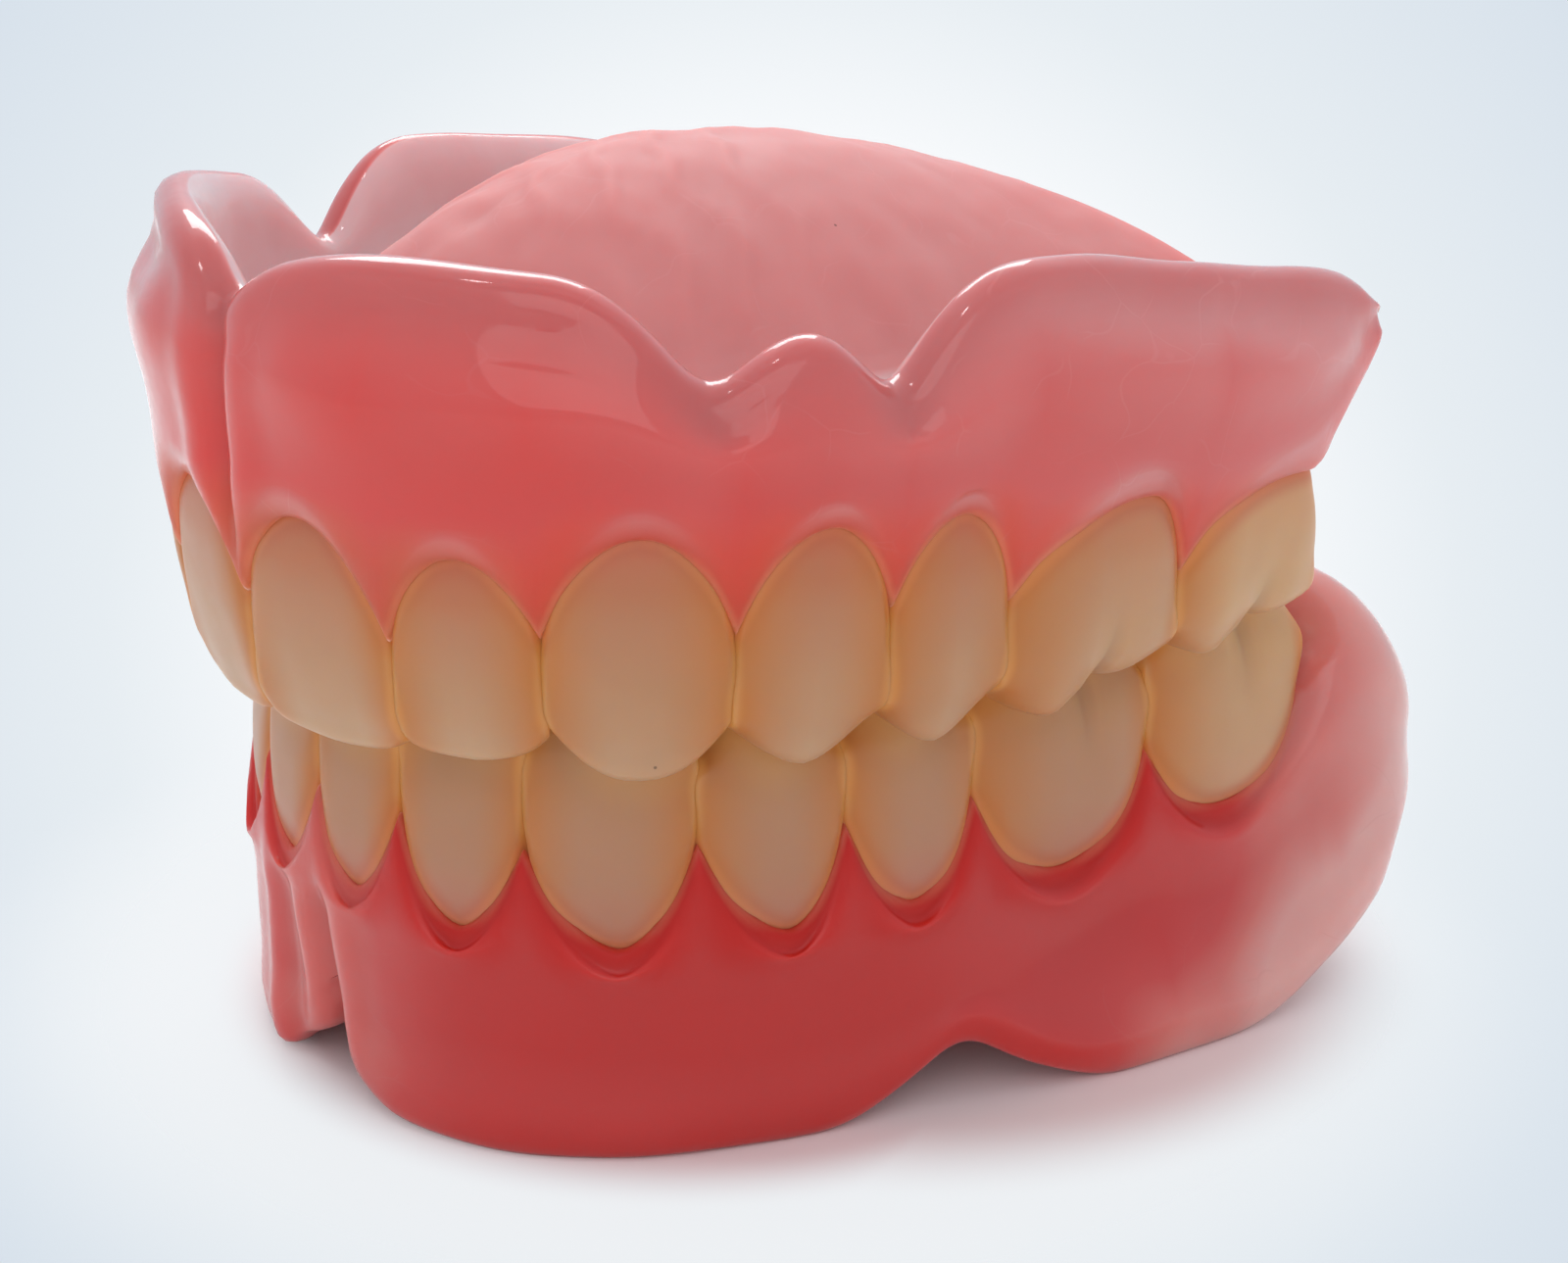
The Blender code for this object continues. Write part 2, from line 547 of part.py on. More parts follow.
def lower_section(distance):
    """One closed cross-section of the lower base, from its outer margin round under the ridge."""
    arch = LOWER_ARCH
    depth = arch.depth(distance)
    arc = arch.arc_share(distance)
    rim = max(along(LOWER_BORDER, distance), 0.0) - BITING_PLANE_HEIGHT
    inner_rim = max(along(LOWER_INNER_BORDER, distance), 0.0) - BITING_PLANE_HEIGHT
    channel = along(LOWER_CHANNEL_HEIGHT, distance)
    out = along(LOWER_BORDER_OUT, distance)
    edge = mix(MARGIN_OUT_AT_PAPILLA, MARGIN_OUT_AT_TOOTH, arc)
    margin = arch.margin_height(distance)
    inner_margin = margin + LOWER_INNER_NECK_RISE * arc - 0.3
    floor = margin - SOCKET_FLOOR_DEPTH
    behind = distance > arch.contacts[-1] + 0.1
    if behind:
        crest = along(LOWER_PAD_TOP, distance)
        margin = crest - 1.4
        inner_margin = crest - 1.2
        floor = crest
        edge = min(1.6, out + 0.6)
    waist = mix(LOWER_WAIST_OUT, out, 0.25)
    if behind:
        waist = mix(edge, out, 0.4)
    half = LOWER_RIM_THICKNESS / 2
    centre = mix(-0.5 * depth, out - half, 0.15)
    inner_out = -depth - LOWER_INNER_BORDER_IN
    if behind:
        closing = (distance - arch.contacts[-1]) / (LOWER_END_STATIONS[-1] - arch.contacts[-1])
        inner_out = mix(inner_out, -0.62 * depth, closing**2)
        centre = mix(out, inner_out, 0.5)
    tissue_out = min(out - LOWER_RIM_THICKNESS, centre + 0.32 * depth)
    tissue_in = max(inner_out + LOWER_RIM_THICKNESS, centre - 0.32 * depth)
    if behind:
        tissue_out = mix(centre, out, 0.35)
        tissue_in = mix(centre, inner_out, 0.35)
    outline = [
        (edge, margin),
        (edge + COLLAR_OUT, margin - COLLAR_DEPTH),
        (waist, mix(margin - COLLAR_DEPTH, rim, 0.34)),
        (mix(waist, out, 0.6), mix(margin - COLLAR_DEPTH, rim, 0.66)),
        (out, mix(margin, rim, 0.88)),
        (out - 0.35 * half, rim),
        (out - 1.3 * half, rim),
        (mix(out - 2 * half, tissue_out, 0.4), mix(rim, channel, 0.2)),
        (tissue_out, mix(rim, channel, 0.75)),
        (centre, channel),
        (tissue_in, mix(inner_rim, channel, 0.75)),
        (mix(inner_out + 2 * half, tissue_in, 0.4), mix(inner_rim, channel, 0.2)),
        (inner_out + 1.2 * half, inner_rim),
        (inner_out + 0.3 * half, inner_rim),
        (inner_out, mix(inner_rim, inner_margin, 0.16)),
        (inner_out + 0.7, mix(inner_rim, inner_margin, 0.6)),
        (inner_out if behind else -depth - 1.2, inner_margin - COLLAR_DEPTH),
        (max(-depth - 0.7, inner_out + 0.5), inner_margin),
        (max(-0.8 * depth, inner_out + 1.4), floor),
        (min(-0.15 * depth, edge - 1.2), floor),
    ]
    if not behind:
        return outline
    rounding = max(0.0, closing - LOWER_PAD_ROUNDS_FROM) / (1 - LOWER_PAD_ROUNDS_FROM)
    rounding = rounding * rounding * (3 - 2 * rounding)
    rounded = []
    for (place_out, height), degrees in zip(outline, LOWER_PAD_ANGLES):
        angle = math.radians(degrees)
        oval_out = mix(out, inner_out, 0.5) + (out - inner_out) / 2 * math.cos(angle)
        oval_height = mix(crest, rim, 0.5) + (crest - rim) / 2 * math.sin(angle)
        rounded.append((mix(place_out, oval_out, rounding), mix(height, oval_height, rounding)))
    return rounded


def middle_back():
    """How far back the middle of the whole denture lies, which its origin is set under."""
    backs = []
    for distance in UPPER_ARCH.stations([UPPER_NOTCH_STATION, UPPER_END[-2][0], UPPER_END[-1][0]]):
        for path in upper_section(distance, UPPER_LEFT_BORDER) + upper_section(distance, UPPER_RIGHT_BORDER):
            backs += [point[1] for point in path]
    for distance in LOWER_ARCH.stations(LOWER_END_STATIONS):
        backs += [LOWER_ARCH.point(distance, out, height)[1] for out, height in lower_section(distance)]
    return (min(backs) + max(backs)) / 2


MIDDLE_BACK = middle_back()


def lower_base_mesh():
    """The lower base, lofted from one end of the horseshoe to the other."""
    shape = bmesh.new()
    left = LOWER_ARCH.stations(LOWER_END_STATIONS)
    marks = [(-1, distance) for distance in reversed(left[1:])] + [(1, distance) for distance in left]
    rings = []
    for side, distance in marks:
        ring = []
        for out, height in lower_section(distance):
            across, back, level = LOWER_ARCH.point(distance, out, height)
            ring.append(shape.verts.new(to_metres((max(across, 0.0), back, level), side)))
        rings.append(ring)
    for ring, following in zip(rings, rings[1:]):
        for step in range(len(ring)):
            after = (step + 1) % len(ring)
            shape.faces.new((ring[step], ring[after], following[after], following[step]))
    shape.faces.new(rings[0])
    shape.faces.new(rings[-1])
    return shape


def cut_sockets(base, arch):
    """Cut a socket for each tooth, a gap wider than the tooth all round."""
    for side in (1, -1):
        for number, tooth in enumerate(arch.teeth):
            cutter_name = f"{base.name}_socket_{tooth['name']}_{'left' if side > 0 else 'right'}"
            shape = tooth_mesh(arch, number, side, grow=GAP)
            cutter = add_object(cutter_name, shape, base.data.materials[0], GUM_EDGE_ANGLE)
            cutter.hide_render = True
            cutter.display_type = "WIRE"
            cut = base.modifiers.new(cutter_name, "BOOLEAN")
            cut.operation = "DIFFERENCE"
            cut.solver = "EXACT"
            cut.object = cutter


def add_teeth(arch, row, finish):
    """The teeth of one arch, both sides."""
    for side, side_name in ((1, "left"), (-1, "right")):
        for number, tooth in enumerate(arch.teeth):
            name = f"{row}_{side_name}_{tooth['name']}"
            add_object(name, tooth_mesh(arch, number, side), finish.copy(), TOOTH_EDGE_ANGLE)


def clear_scene():
    for item in list(bpy.data.objects):
        bpy.data.objects.remove(item)


def main():
    clear_scene()
    acrylic = material("denture_acrylic", ACRYLIC_COLOUR, ACRYLIC_ROUGHNESS)
    enamel = material("tooth_resin", TOOTH_COLOUR, TOOTH_ROUGHNESS)
    upper_base = add_object("upper_base", upper_base_mesh(), acrylic, GUM_EDGE_ANGLE)
    lower_base = add_object("lower_base", lower_base_mesh(), acrylic.copy(), GUM_EDGE_ANGLE)
    cut_sockets(upper_base, UPPER_ARCH)
    cut_sockets(lower_base, LOWER_ARCH)
    add_teeth(UPPER_ARCH, "upper", enamel)
    add_teeth(LOWER_ARCH, "lower", enamel)


main()
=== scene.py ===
import math

import bpy
import numpy as np
from mathutils import Matrix, Vector, noise
from mathutils.bvhtree import BVHTree


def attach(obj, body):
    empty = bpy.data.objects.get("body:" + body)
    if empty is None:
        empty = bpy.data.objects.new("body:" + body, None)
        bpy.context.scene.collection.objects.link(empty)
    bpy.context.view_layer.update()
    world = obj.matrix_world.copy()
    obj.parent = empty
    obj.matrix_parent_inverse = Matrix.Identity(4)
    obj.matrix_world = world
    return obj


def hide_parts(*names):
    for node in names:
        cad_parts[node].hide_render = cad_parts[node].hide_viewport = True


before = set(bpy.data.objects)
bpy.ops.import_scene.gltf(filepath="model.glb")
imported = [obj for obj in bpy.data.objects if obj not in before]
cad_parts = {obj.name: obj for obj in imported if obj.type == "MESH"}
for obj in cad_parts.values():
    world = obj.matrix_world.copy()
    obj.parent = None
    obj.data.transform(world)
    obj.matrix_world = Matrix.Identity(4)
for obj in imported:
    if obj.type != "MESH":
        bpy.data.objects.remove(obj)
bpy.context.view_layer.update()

# The full denture's finished look. Sizes are in millimetres from the biting plane until toFrame puts them
# in the frame: X to the patient's left, Y to the back, Z up. A place on an arch is its distance from the
# midline along the teeth's contacts, its distance out from that curve, and its height. A bead is its height,
# its middle and its width.

millimetre = 0.001
bitingPlane = 19.5
middleBack = 0.8115
toothSides = 64

upperArch = {
    "front": -26.0,
    "sign": 1,
    "names": ["central_incisor", "lateral_incisor", "canine", "first_premolar", "second_premolar",
              "first_molar", "second_molar"],
    "forms": ["incisor", "incisor", "canine", "premolar", "premolar", "molar", "molar"],
    "widths": [8.6, 6.6, 7.8, 6.8, 5.9, 9.9, 9.4],
    "facings": [10.2, 31.0, 52.5, 71.0, 79.0, 83.0, 86.0],
    "tips": [-0.1, 0.5, -0.1, -0.1, -0.1, -0.2, 0.8],
    "necks": [10.3, 9.7, 10.9, 10.9, 10.7, 9.9, 9.3],
    "depths": [6.6, 6.0, 7.4, 8.6, 8.8, 10.2, 9.8],
    "papillae": [6.0, 5.6, 6.5, 6.6, 7.0, 6.3, 5.9, 8.6],
    "distalRise": [0.35, 0.7, 0.0, 0.0, 0.0, 0.0, 0.0],
    "distalWidths": [1.0, 1.0, 1.0, 1.0, 1.0, 1.0, 0.96],
    "mesialFullness": [2.1, 2.1, 2.1, 2.1, 2.1, 1.8, 1.6],
    "distalFullness": [2.1, 2.1, 2.1, 2.1, 2.1, 3.6, 4.0],
    "paleness": [0.0, 0.0, 0.0, 0.0, 0.0, 0.2, 0.55],
    "contactGlowMesial": [2.8, 3.0, 2.8, 3.4, 3.4, 5.5, 3.6],
    "contactGlowDistal": [2.4, 3.0, 3.6, 3.2, 2.6, 1.2, 0.8],
    "zeniths": [0.5, 0.5, 0.52, 0.58, 0.55, 0.7, 0.74],
    "outAtTooth": 0.95, "neckNarrowing": 0.0, "riseShare": 0.85, "tipLift": 0.0,
}
lowerArch = {
    "front": -23.0,
    "sign": -1,
    "names": upperArch["names"],
    "forms": upperArch["forms"],
    "widths": [5.3, 6.0, 7.4, 6.8, 7.0, 10.5, 10.0],
    "facings": [8.0, 25.0, 46.5, 72.5, 83.0, 82.0, 82.0],
    "tips": [1.1, 1.2, 1.3, 0.9, 0.9, 0.9, 1.7],
    "necks": [-8.0, -8.5, -8.9, -8.7, -8.7, -9.2, -8.3],
    "depths": [5.4, 5.6, 6.8, 7.6, 8.0, 9.8, 9.6],
    "papillae": [-3.9, -3.8, -4.5, -4.1, -4.2, -4.5, -4.5, -3.6],
    "distalRise": [0.0, 0.0, 0.0, 0.0, 0.0, 0.0, 0.0],
    "distalWidths": [1.0, 1.0, 1.0, 1.0, 1.0, 1.0, 1.0],
    "mesialFullness": [1.7, 1.7, 1.65, 1.7, 1.7, 1.9, 2.1],
    "distalFullness": [1.7, 1.7, 1.65, 1.7, 1.7, 1.9, 2.1],
    "paleness": [0.0, 0.0, 0.0, 0.0, 0.0, 0.05, 0.45],
    "contactGlowMesial": [2.0, 2.2, 2.7, 3.2, 3.2, 4.8, 5.0],
    "contactGlowDistal": [2.0, 2.2, 2.9, 2.9, 2.6, 2.0, 1.0],
    "zeniths": [0.5, 0.5, 0.55, 0.6, 0.52, 0.5, 0.5],
    "outAtTooth": 0.95, "neckNarrowing": 0.12, "riseShare": 0.35, "tipLift": 0.7,
}

margins = {"outAtPapilla": 0.55, "collarOut": 0.5, "collarDepth": 1.0,
           "upperInnerDrop": 3.2, "lowerInnerRise": 2.4, "floorDepth": 1.3}

stationSpacing = 0.33
handWave = {"height": 0.22, "scale": 0.16}


def mix(start, end, share):
    return start + (end - start) * share


def smoothStep(value, low, high):
    share = np.clip((value - low) / (high - low), 0.0, 1.0)
    return share * share * (3 - 2 * share)


def hill(value, middle, width):
    return np.exp(-((value - middle) / width) ** 2)


# A smooth curve through the points, level at the midline
def curveAt(points, places):
    known, values = np.array(points, float).T
    places = np.clip(np.asarray(places, float), known[0], known[-1])
    right = np.clip(np.searchsorted(known, places, side="right"), 1, len(known) - 1)
    left = right - 1
    before = np.maximum(left - 1, 0)
    after = np.minimum(right + 1, len(known) - 1)
    span = known[right] - known[left]
    share = (places - known[left]) / span
    slopeLeft = (values[right] - values[before]) / (known[right] - known[before]) * span
    slopeLeft = np.where((left == 0) & (known[0] == 0.0), 0.0, slopeLeft)
    slopeRight = (values[after] - values[left]) / (known[after] - known[left]) * span
    square = share * share
    cube = square * share
    return ((2 * cube - 3 * square + 1) * values[left] + (cube - 2 * square + share) * slopeLeft
            + (3 * square - 2 * cube) * values[right] + (cube - square) * slopeRight)


# The arch's curve: every tooth faces the way its facing says, in degrees from straight ahead
def layArch(arch):
    widths = np.array(arch["widths"])
    arch["contacts"] = np.concatenate([[0.0], np.cumsum(widths)])
    arch["centres"] = arch["contacts"][:-1] + widths / 2
    run = np.linspace(0.0, arch["contacts"][-1] + 14.0, 1201)
    turns = np.radians([0.0] + arch["facings"])
    arch["run"] = run
    arch["heading"] = np.interp(run, np.concatenate([[0.0], arch["centres"]]), turns)
    cosines, sines = np.cos(arch["heading"]), np.sin(arch["heading"])
    arch["across"] = np.concatenate([[0.0], np.cumsum((cosines[1:] + cosines[:-1]) / 2 * run[1])])
    arch["back"] = arch["front"] + np.concatenate([[0.0], np.cumsum((sines[1:] + sines[:-1]) / 2 * run[1])])


def archPoints(arch, distance, out, height):
    across = np.interp(distance, arch["run"], arch["across"])
    back = np.interp(distance, arch["run"], arch["back"])
    heading = np.interp(distance, arch["run"], arch["heading"])
    return np.stack([across + out * np.sin(heading), back - out * np.cos(heading),
                     np.broadcast_to(height, np.shape(across + out))], axis=-1)


def archPlace(arch, across, back):
    flatAcross, flatBack = np.abs(np.ravel(across)), np.ravel(back)
    gapAcross = flatAcross[:, None] - arch["across"]
    gapBack = flatBack[:, None] - arch["back"]
    nearest = np.argmin(gapAcross ** 2 + gapBack ** 2, axis=1)
    rows = np.arange(len(nearest))
    heading = arch["heading"][nearest]
    out = gapAcross[rows, nearest] * np.sin(heading) - gapBack[rows, nearest] * np.cos(heading)
    return arch["run"][nearest].reshape(np.shape(across)), out.reshape(np.shape(across))


# How far up its arc the gum margin is, and its height there
def marginLine(arch, distance):
    widths = np.array(arch["widths"])
    number = np.clip(np.searchsorted(arch["contacts"], distance - 1e-6) - 1, 0, len(widths) - 1)
    share = np.clip((distance - arch["contacts"][number]) / widths[number], 0.0, 1.0)
    zenith = np.array(arch["zeniths"])[number]
    mesial = share < zenith
    mesialFullness = np.array(arch["mesialFullness"])[number]
    distalFullness = np.array(arch["distalFullness"])[number]
    fullness = np.where(mesial, mesialFullness, distalFullness)
    arc = 1.0 - (np.abs(share - zenith) / np.where(mesial, zenith, 1 - zenith)) ** fullness
    papilla = np.interp(distance, arch["contacts"], arch["papillae"])
    return arc, mix(papilla, np.array(arch["necks"])[number], arc)


def depthAt(arch, distance):
    return np.interp(distance, arch["centres"], arch["depths"])


def gumStations(arch, end):
    marks = [0.0]
    for start, width in zip(arch["contacts"], arch["widths"]):
        count = 2 * round(width / stationSpacing / 2)
        marks += [start + width * step / count for step in range(1, count + 1)]
    count = math.ceil((end - marks[-1]) / stationSpacing)
    marks += [mix(marks[-1], end, step / count) for step in range(1, count + 1)]
    return np.array(marks)


# A smooth run through each section's points, with so many steps from one to the next
def smoothRun(points, steps, closed=False):
    if closed:
        points = np.concatenate([points[:, -1:], points, points[:, :2]], axis=1)
    length = np.linalg.norm(np.diff(points, axis=1), axis=2)[..., None] + 1e-6
    slope = np.diff(points, axis=1) / length
    before, after = length[:, :-1], length[:, 1:]
    middle = (slope[:, 1:] * before + slope[:, :-1] * after) / (after + before)
    if closed:
        points, length, tangent = points[:, 1:-1], length[:, 1:-1], middle
    else:
        tangent = np.concatenate([slope[:, :1], middle, slope[:, -1:]], axis=1)
    pieces = []
    for number, count in enumerate(steps):
        start, end = points[:, number], points[:, number + 1]
        leave = tangent[:, number] * length[:, number]
        arrive = tangent[:, number + 1] * length[:, number]
        for step in range(count):
            share = step / count
            square, cube = share ** 2, share ** 3
            pieces.append((2 * cube - 3 * square + 1) * start + (cube - 2 * square + share) * leave
                          + (3 * square - 2 * cube) * end + (cube - square) * arrive)
    if not closed:
        pieces.append(points[:, len(steps)])
    return np.stack(pieces, axis=1)


def toFrame(points):
    points = np.asarray(points, float)
    return (points + [0.0, -middleBack, bitingPlane]) * millimetre


biteWave = {"height": 0.6, "width": 7.0, "ridge": -4.5, "outerLimit": -1.2,
            "level": [(0.0, 0.5), (40.0, 0.5), (46.0, 0.8), (52.0, 1.5), (62.0, 1.6)]}


def biteHeight(across, back):
    distance, out = archPlace(upperArch, across, back)
    wave = np.cos(2 * math.pi * (out - biteWave["ridge"]) / biteWave["width"])
    return curveAt(biteWave["level"], distance) + biteWave["height"] * wave, out


upperBorderBack = [(34.0, 20.6), (38.0, 20.9), (44.0, 20.1), (52.0, 18.9), (54.4, 18.5), (55.8, 18.0),
                   (56.8, 17.0)]
upperGum = {
    "leftBorder": [(0.0, 18.8), (1.2, 19.7), (2.6, 20.6), (5.5, 21.3), (9.0, 21.6), (14.0, 21.3),
                   (17.0, 20.9), (19.5, 19.2), (22.0, 16.7), (24.0, 18.2), (26.2, 18.9), (28.2, 17.4),
                   (29.7, 15.9), (31.2, 18.2)] + upperBorderBack,
    "rightBorder": [(0.0, 18.8), (1.2, 19.7), (2.6, 20.8), (5.5, 21.6), (10.0, 22.0), (14.0, 22.0),
                    (18.0, 21.5), (22.0, 20.8), (24.0, 20.3), (26.0, 19.2), (28.0, 17.4), (29.7, 15.9),
                    (31.2, 17.9)] + upperBorderBack,
    "flangeOut": [(0.0, 0.5), (1.0, 1.0), (2.6, 2.1), (5.0, 2.35), (14.0, 2.2), (20.0, 2.6), (26.0, 2.2),
                  (32.0, 2.7), (44.0, 3.0), (52.0, 2.8), (56.8, 1.6)],
    "rimOut": [(0.0, 0.2), (8.0, -0.4), (16.0, -0.3), (20.0, 0.1), (26.0, 0.6), (34.0, 0.6), (52.0, 0.8),
               (57.3, 0.4)],
    "rimThickness": 2.4,
    "trough": [(0.0, 13.9), (44.0, 13.9), (50.0, 14.2), (54.0, 15.0), (57.3, 15.9)],
    "endLift": [(0.0, 0.0), (53.5, 0.0), (54.3, 0.9), (55.1, 2.6), (55.8, 4.3), (56.4, 5.4), (56.8, 6.0)],
    "end": 56.8, "endRadius": 0.6,
    "palateRidge": [(-14.5, 20.4), (-11.0, 22.3), (-6.0, 23.4), (0.0, 23.6), (8.0, 22.5), (14.0, 21.0),
                    (17.0, 19.9)],
    "palateThickness": 2.3,
    "topMeets": [(0.0, -14.5), (8.6, -11.0), (15.2, -7.8), (23.0, -3.2), (36.4, 4.2), (46.3, 10.0),
                 (57.3, 17.0)],
    "underMeets": [(0.0, -8.0), (8.6, -6.6), (15.2, -4.6), (23.0, -1.4), (36.4, 4.8), (46.3, 10.2),
                   (57.3, 17.0)],
    "palateCurve": [(0.0, 1.3), (15.0, 1.6), (30.0, 2.0), (57.3, 2.0)],
    "marginBead": (0.10, 0.9, 0.5), "rimBead": (0.14, 0.9, 0.7), "rimGroove": (-0.12, 2.5, 0.8),
    "crease": (-0.9, 0.0, 0.55), "creaseBank": (0.45, 1.7, 1.2), "rugae": 0.14, "facets": (0.14, 0.5),
    "palest": 0.74, "tissuePaleness": 1.0, "vaultPaleness": 0.74,
    "underSteps": [8, 8, 8, 8, 7, 3, 3, 8, 7],
    "edgeSteps": 3,
    "topSteps": [4, 5, 5, 4, 3, 3, 4, 4, 3, 4, 4, 5, 5, 5, 5],
}


def palateRun(start, back, height, curve, count=4):
    run = []
    for step in range(1, count + 1):
        share = step / count
        rise = 1 - (1 - share) ** curve
        run.append(np.stack([start[:, 0] * (1 - share), mix(start[:, 1], back, share),
                             mix(start[:, 2], height, rise)], axis=-1))
    return run


# One section per station: the palate's underside, the gum margin, the outside, the rim, the trough, the top
def upperSections(distance, border):
    piece = upperGum
    depth = depthAt(upperArch, distance)
    arc, margin = marginLine(upperArch, distance)
    lift = curveAt(piece["endLift"], distance)
    margin = margin + lift
    rim = curveAt(border, distance)
    flange = curveAt(piece["flangeOut"], distance) + 0.2 * (arc - 0.5)
    rimOut = curveAt(piece["rimOut"], distance)
    trough = curveAt(piece["trough"], distance)
    edge = mix(margins["outAtPapilla"], upperArch["outAtTooth"], arc)
    edge = mix(edge, 1.4, np.minimum(1.0, lift / 3.0))
    half = piece["rimThickness"] / 2
    collar = edge + margins["collarOut"]
    collarTop = margin + margins["collarDepth"]
    tissue = rimOut - half
    outline = [
        (edge, margin), (collar, collarTop),
        (mix(collar, flange, 0.6), mix(collarTop, rim, 0.3)), (flange, mix(collarTop, rim, 0.6)),
        (rimOut + half, rim - 0.14 * (rim - margin)),
        (rimOut + 0.6 * half, rim - np.minimum(0.35, 0.07 * (rim - margin))),
        (rimOut - 0.2 * half, rim), (tissue, mix(rim, trough, 0.16)),
        (tissue - 0.4, mix(rim, trough, 0.6)), (tissue - 0.14 * depth, mix(rim, trough, 0.92)),
        (-0.52 * depth, trough), (-0.86 * depth, trough + 0.9),
    ]
    top = [archPoints(upperArch, distance, out, height) for out, height in outline]
    floor = np.minimum(margin + margins["floorDepth"], trough - 1.6)
    inner = margin - margins["upperInnerDrop"] * arc
    underline = [
        (edge - 0.5, margin + 0.1), (-0.2 * depth, floor), (-0.75 * depth, floor),
        (-depth - 0.2, inner + 0.2), (-depth - 0.9, inner), (-depth - 1.5, inner + 1.1),
    ]
    under = [archPoints(upperArch, distance, out, height) for out, height in underline]
    curve = curveAt(piece["palateCurve"], distance)
    topBack = curveAt(piece["topMeets"], distance)
    underBack = curveAt(piece["underMeets"], distance)
    top += palateRun(top[-1], topBack, curveAt(piece["palateRidge"], topBack), curve)
    underHeight = curveAt(piece["palateRidge"], underBack) - piece["palateThickness"]
    under += palateRun(under[-1], underBack, underHeight, curve)
    path = np.stack(under[::-1] + top, axis=1)
    return smoothRun(path, piece["underSteps"] + [piece["edgeSteps"]] + piece["topSteps"]), rim


lowerGum = {
    "border": [(0.0, -14.8), (0.9, -15.8), (2.2, -17.9), (4.0, -18.9), (7.0, -19.2), (15.0, -19.5),
               (22.0, -19.5), (26.0, -19.2), (29.0, -17.6), (31.3, -16.0), (34.5, -17.8), (38.5, -19.3),
               (41.0, -19.5), (47.5, -19.5), (50.5, -18.8), (53.1, -17.2), (56.4, -15.1), (58.4, -14.0),
               (60.2, -12.9), (61.6, -12.0), (62.6, -11.0)],
    "borderOut": [(0.0, 0.0), (1.2, 0.5), (3.5, 1.3), (8.0, 1.4), (14.0, 1.0), (22.0, 0.8), (28.0, 1.5),
                  (31.5, 2.4), (36.0, 3.6), (44.0, 4.4), (53.0, 4.2), (58.4, 3.4), (61.6, 1.8), (62.6, 0.0)],
    "innerBorder": [(0.0, -17.8), (6.0, -18.6), (20.0, -18.0), (30.0, -18.4), (41.0, -19.5), (48.0, -19.5),
                    (53.1, -18.0), (58.4, -14.2), (61.6, -12.2), (62.6, -11.0)],
    "channel": [(0.0, -12.6), (44.0, -12.8), (50.0, -12.2), (53.1, -11.0), (56.4, -9.0), (58.4, -8.6),
                (60.2, -8.4), (61.6, -8.0), (62.6, -7.6)],
    "padTop": [(53.1, -1.2), (54.6, 1.2), (56.4, 1.4), (58.4, 0.2), (60.2, -1.5), (61.6, -3.1), (62.6, -4.6)],
    "padAngles": [35, 15, -5, -25, -45, -60, -70, -78, -84, -90, -96, -102, -110, -120, -135, -160, -190,
                  -215, -240, -290],
    "padRoundsFrom": 0.45,
    "end": 62.6, "endReach": 1.3,
    "moat": (-0.24, 0.8, 0.5), "ledge": (0.14, 1.8, 0.5),
    "frontFolds": [(-0.55, 0.3, 0.6), (0.4, 1.9, 0.9), (0.4, -1.3, 0.8), (0.28, -4.6, 0.8),
                   (-0.3, -3.0, 0.8)],
    "rimThickness": 2.2,
    "innerBorderIn": 2.0,
    "waistOut": 1.3,
    "steps": [4, 7, 7, 7, 4, 3, 4, 6, 6, 6, 6, 4, 3, 3, 6, 8, 4, 3, 7, 4],
}


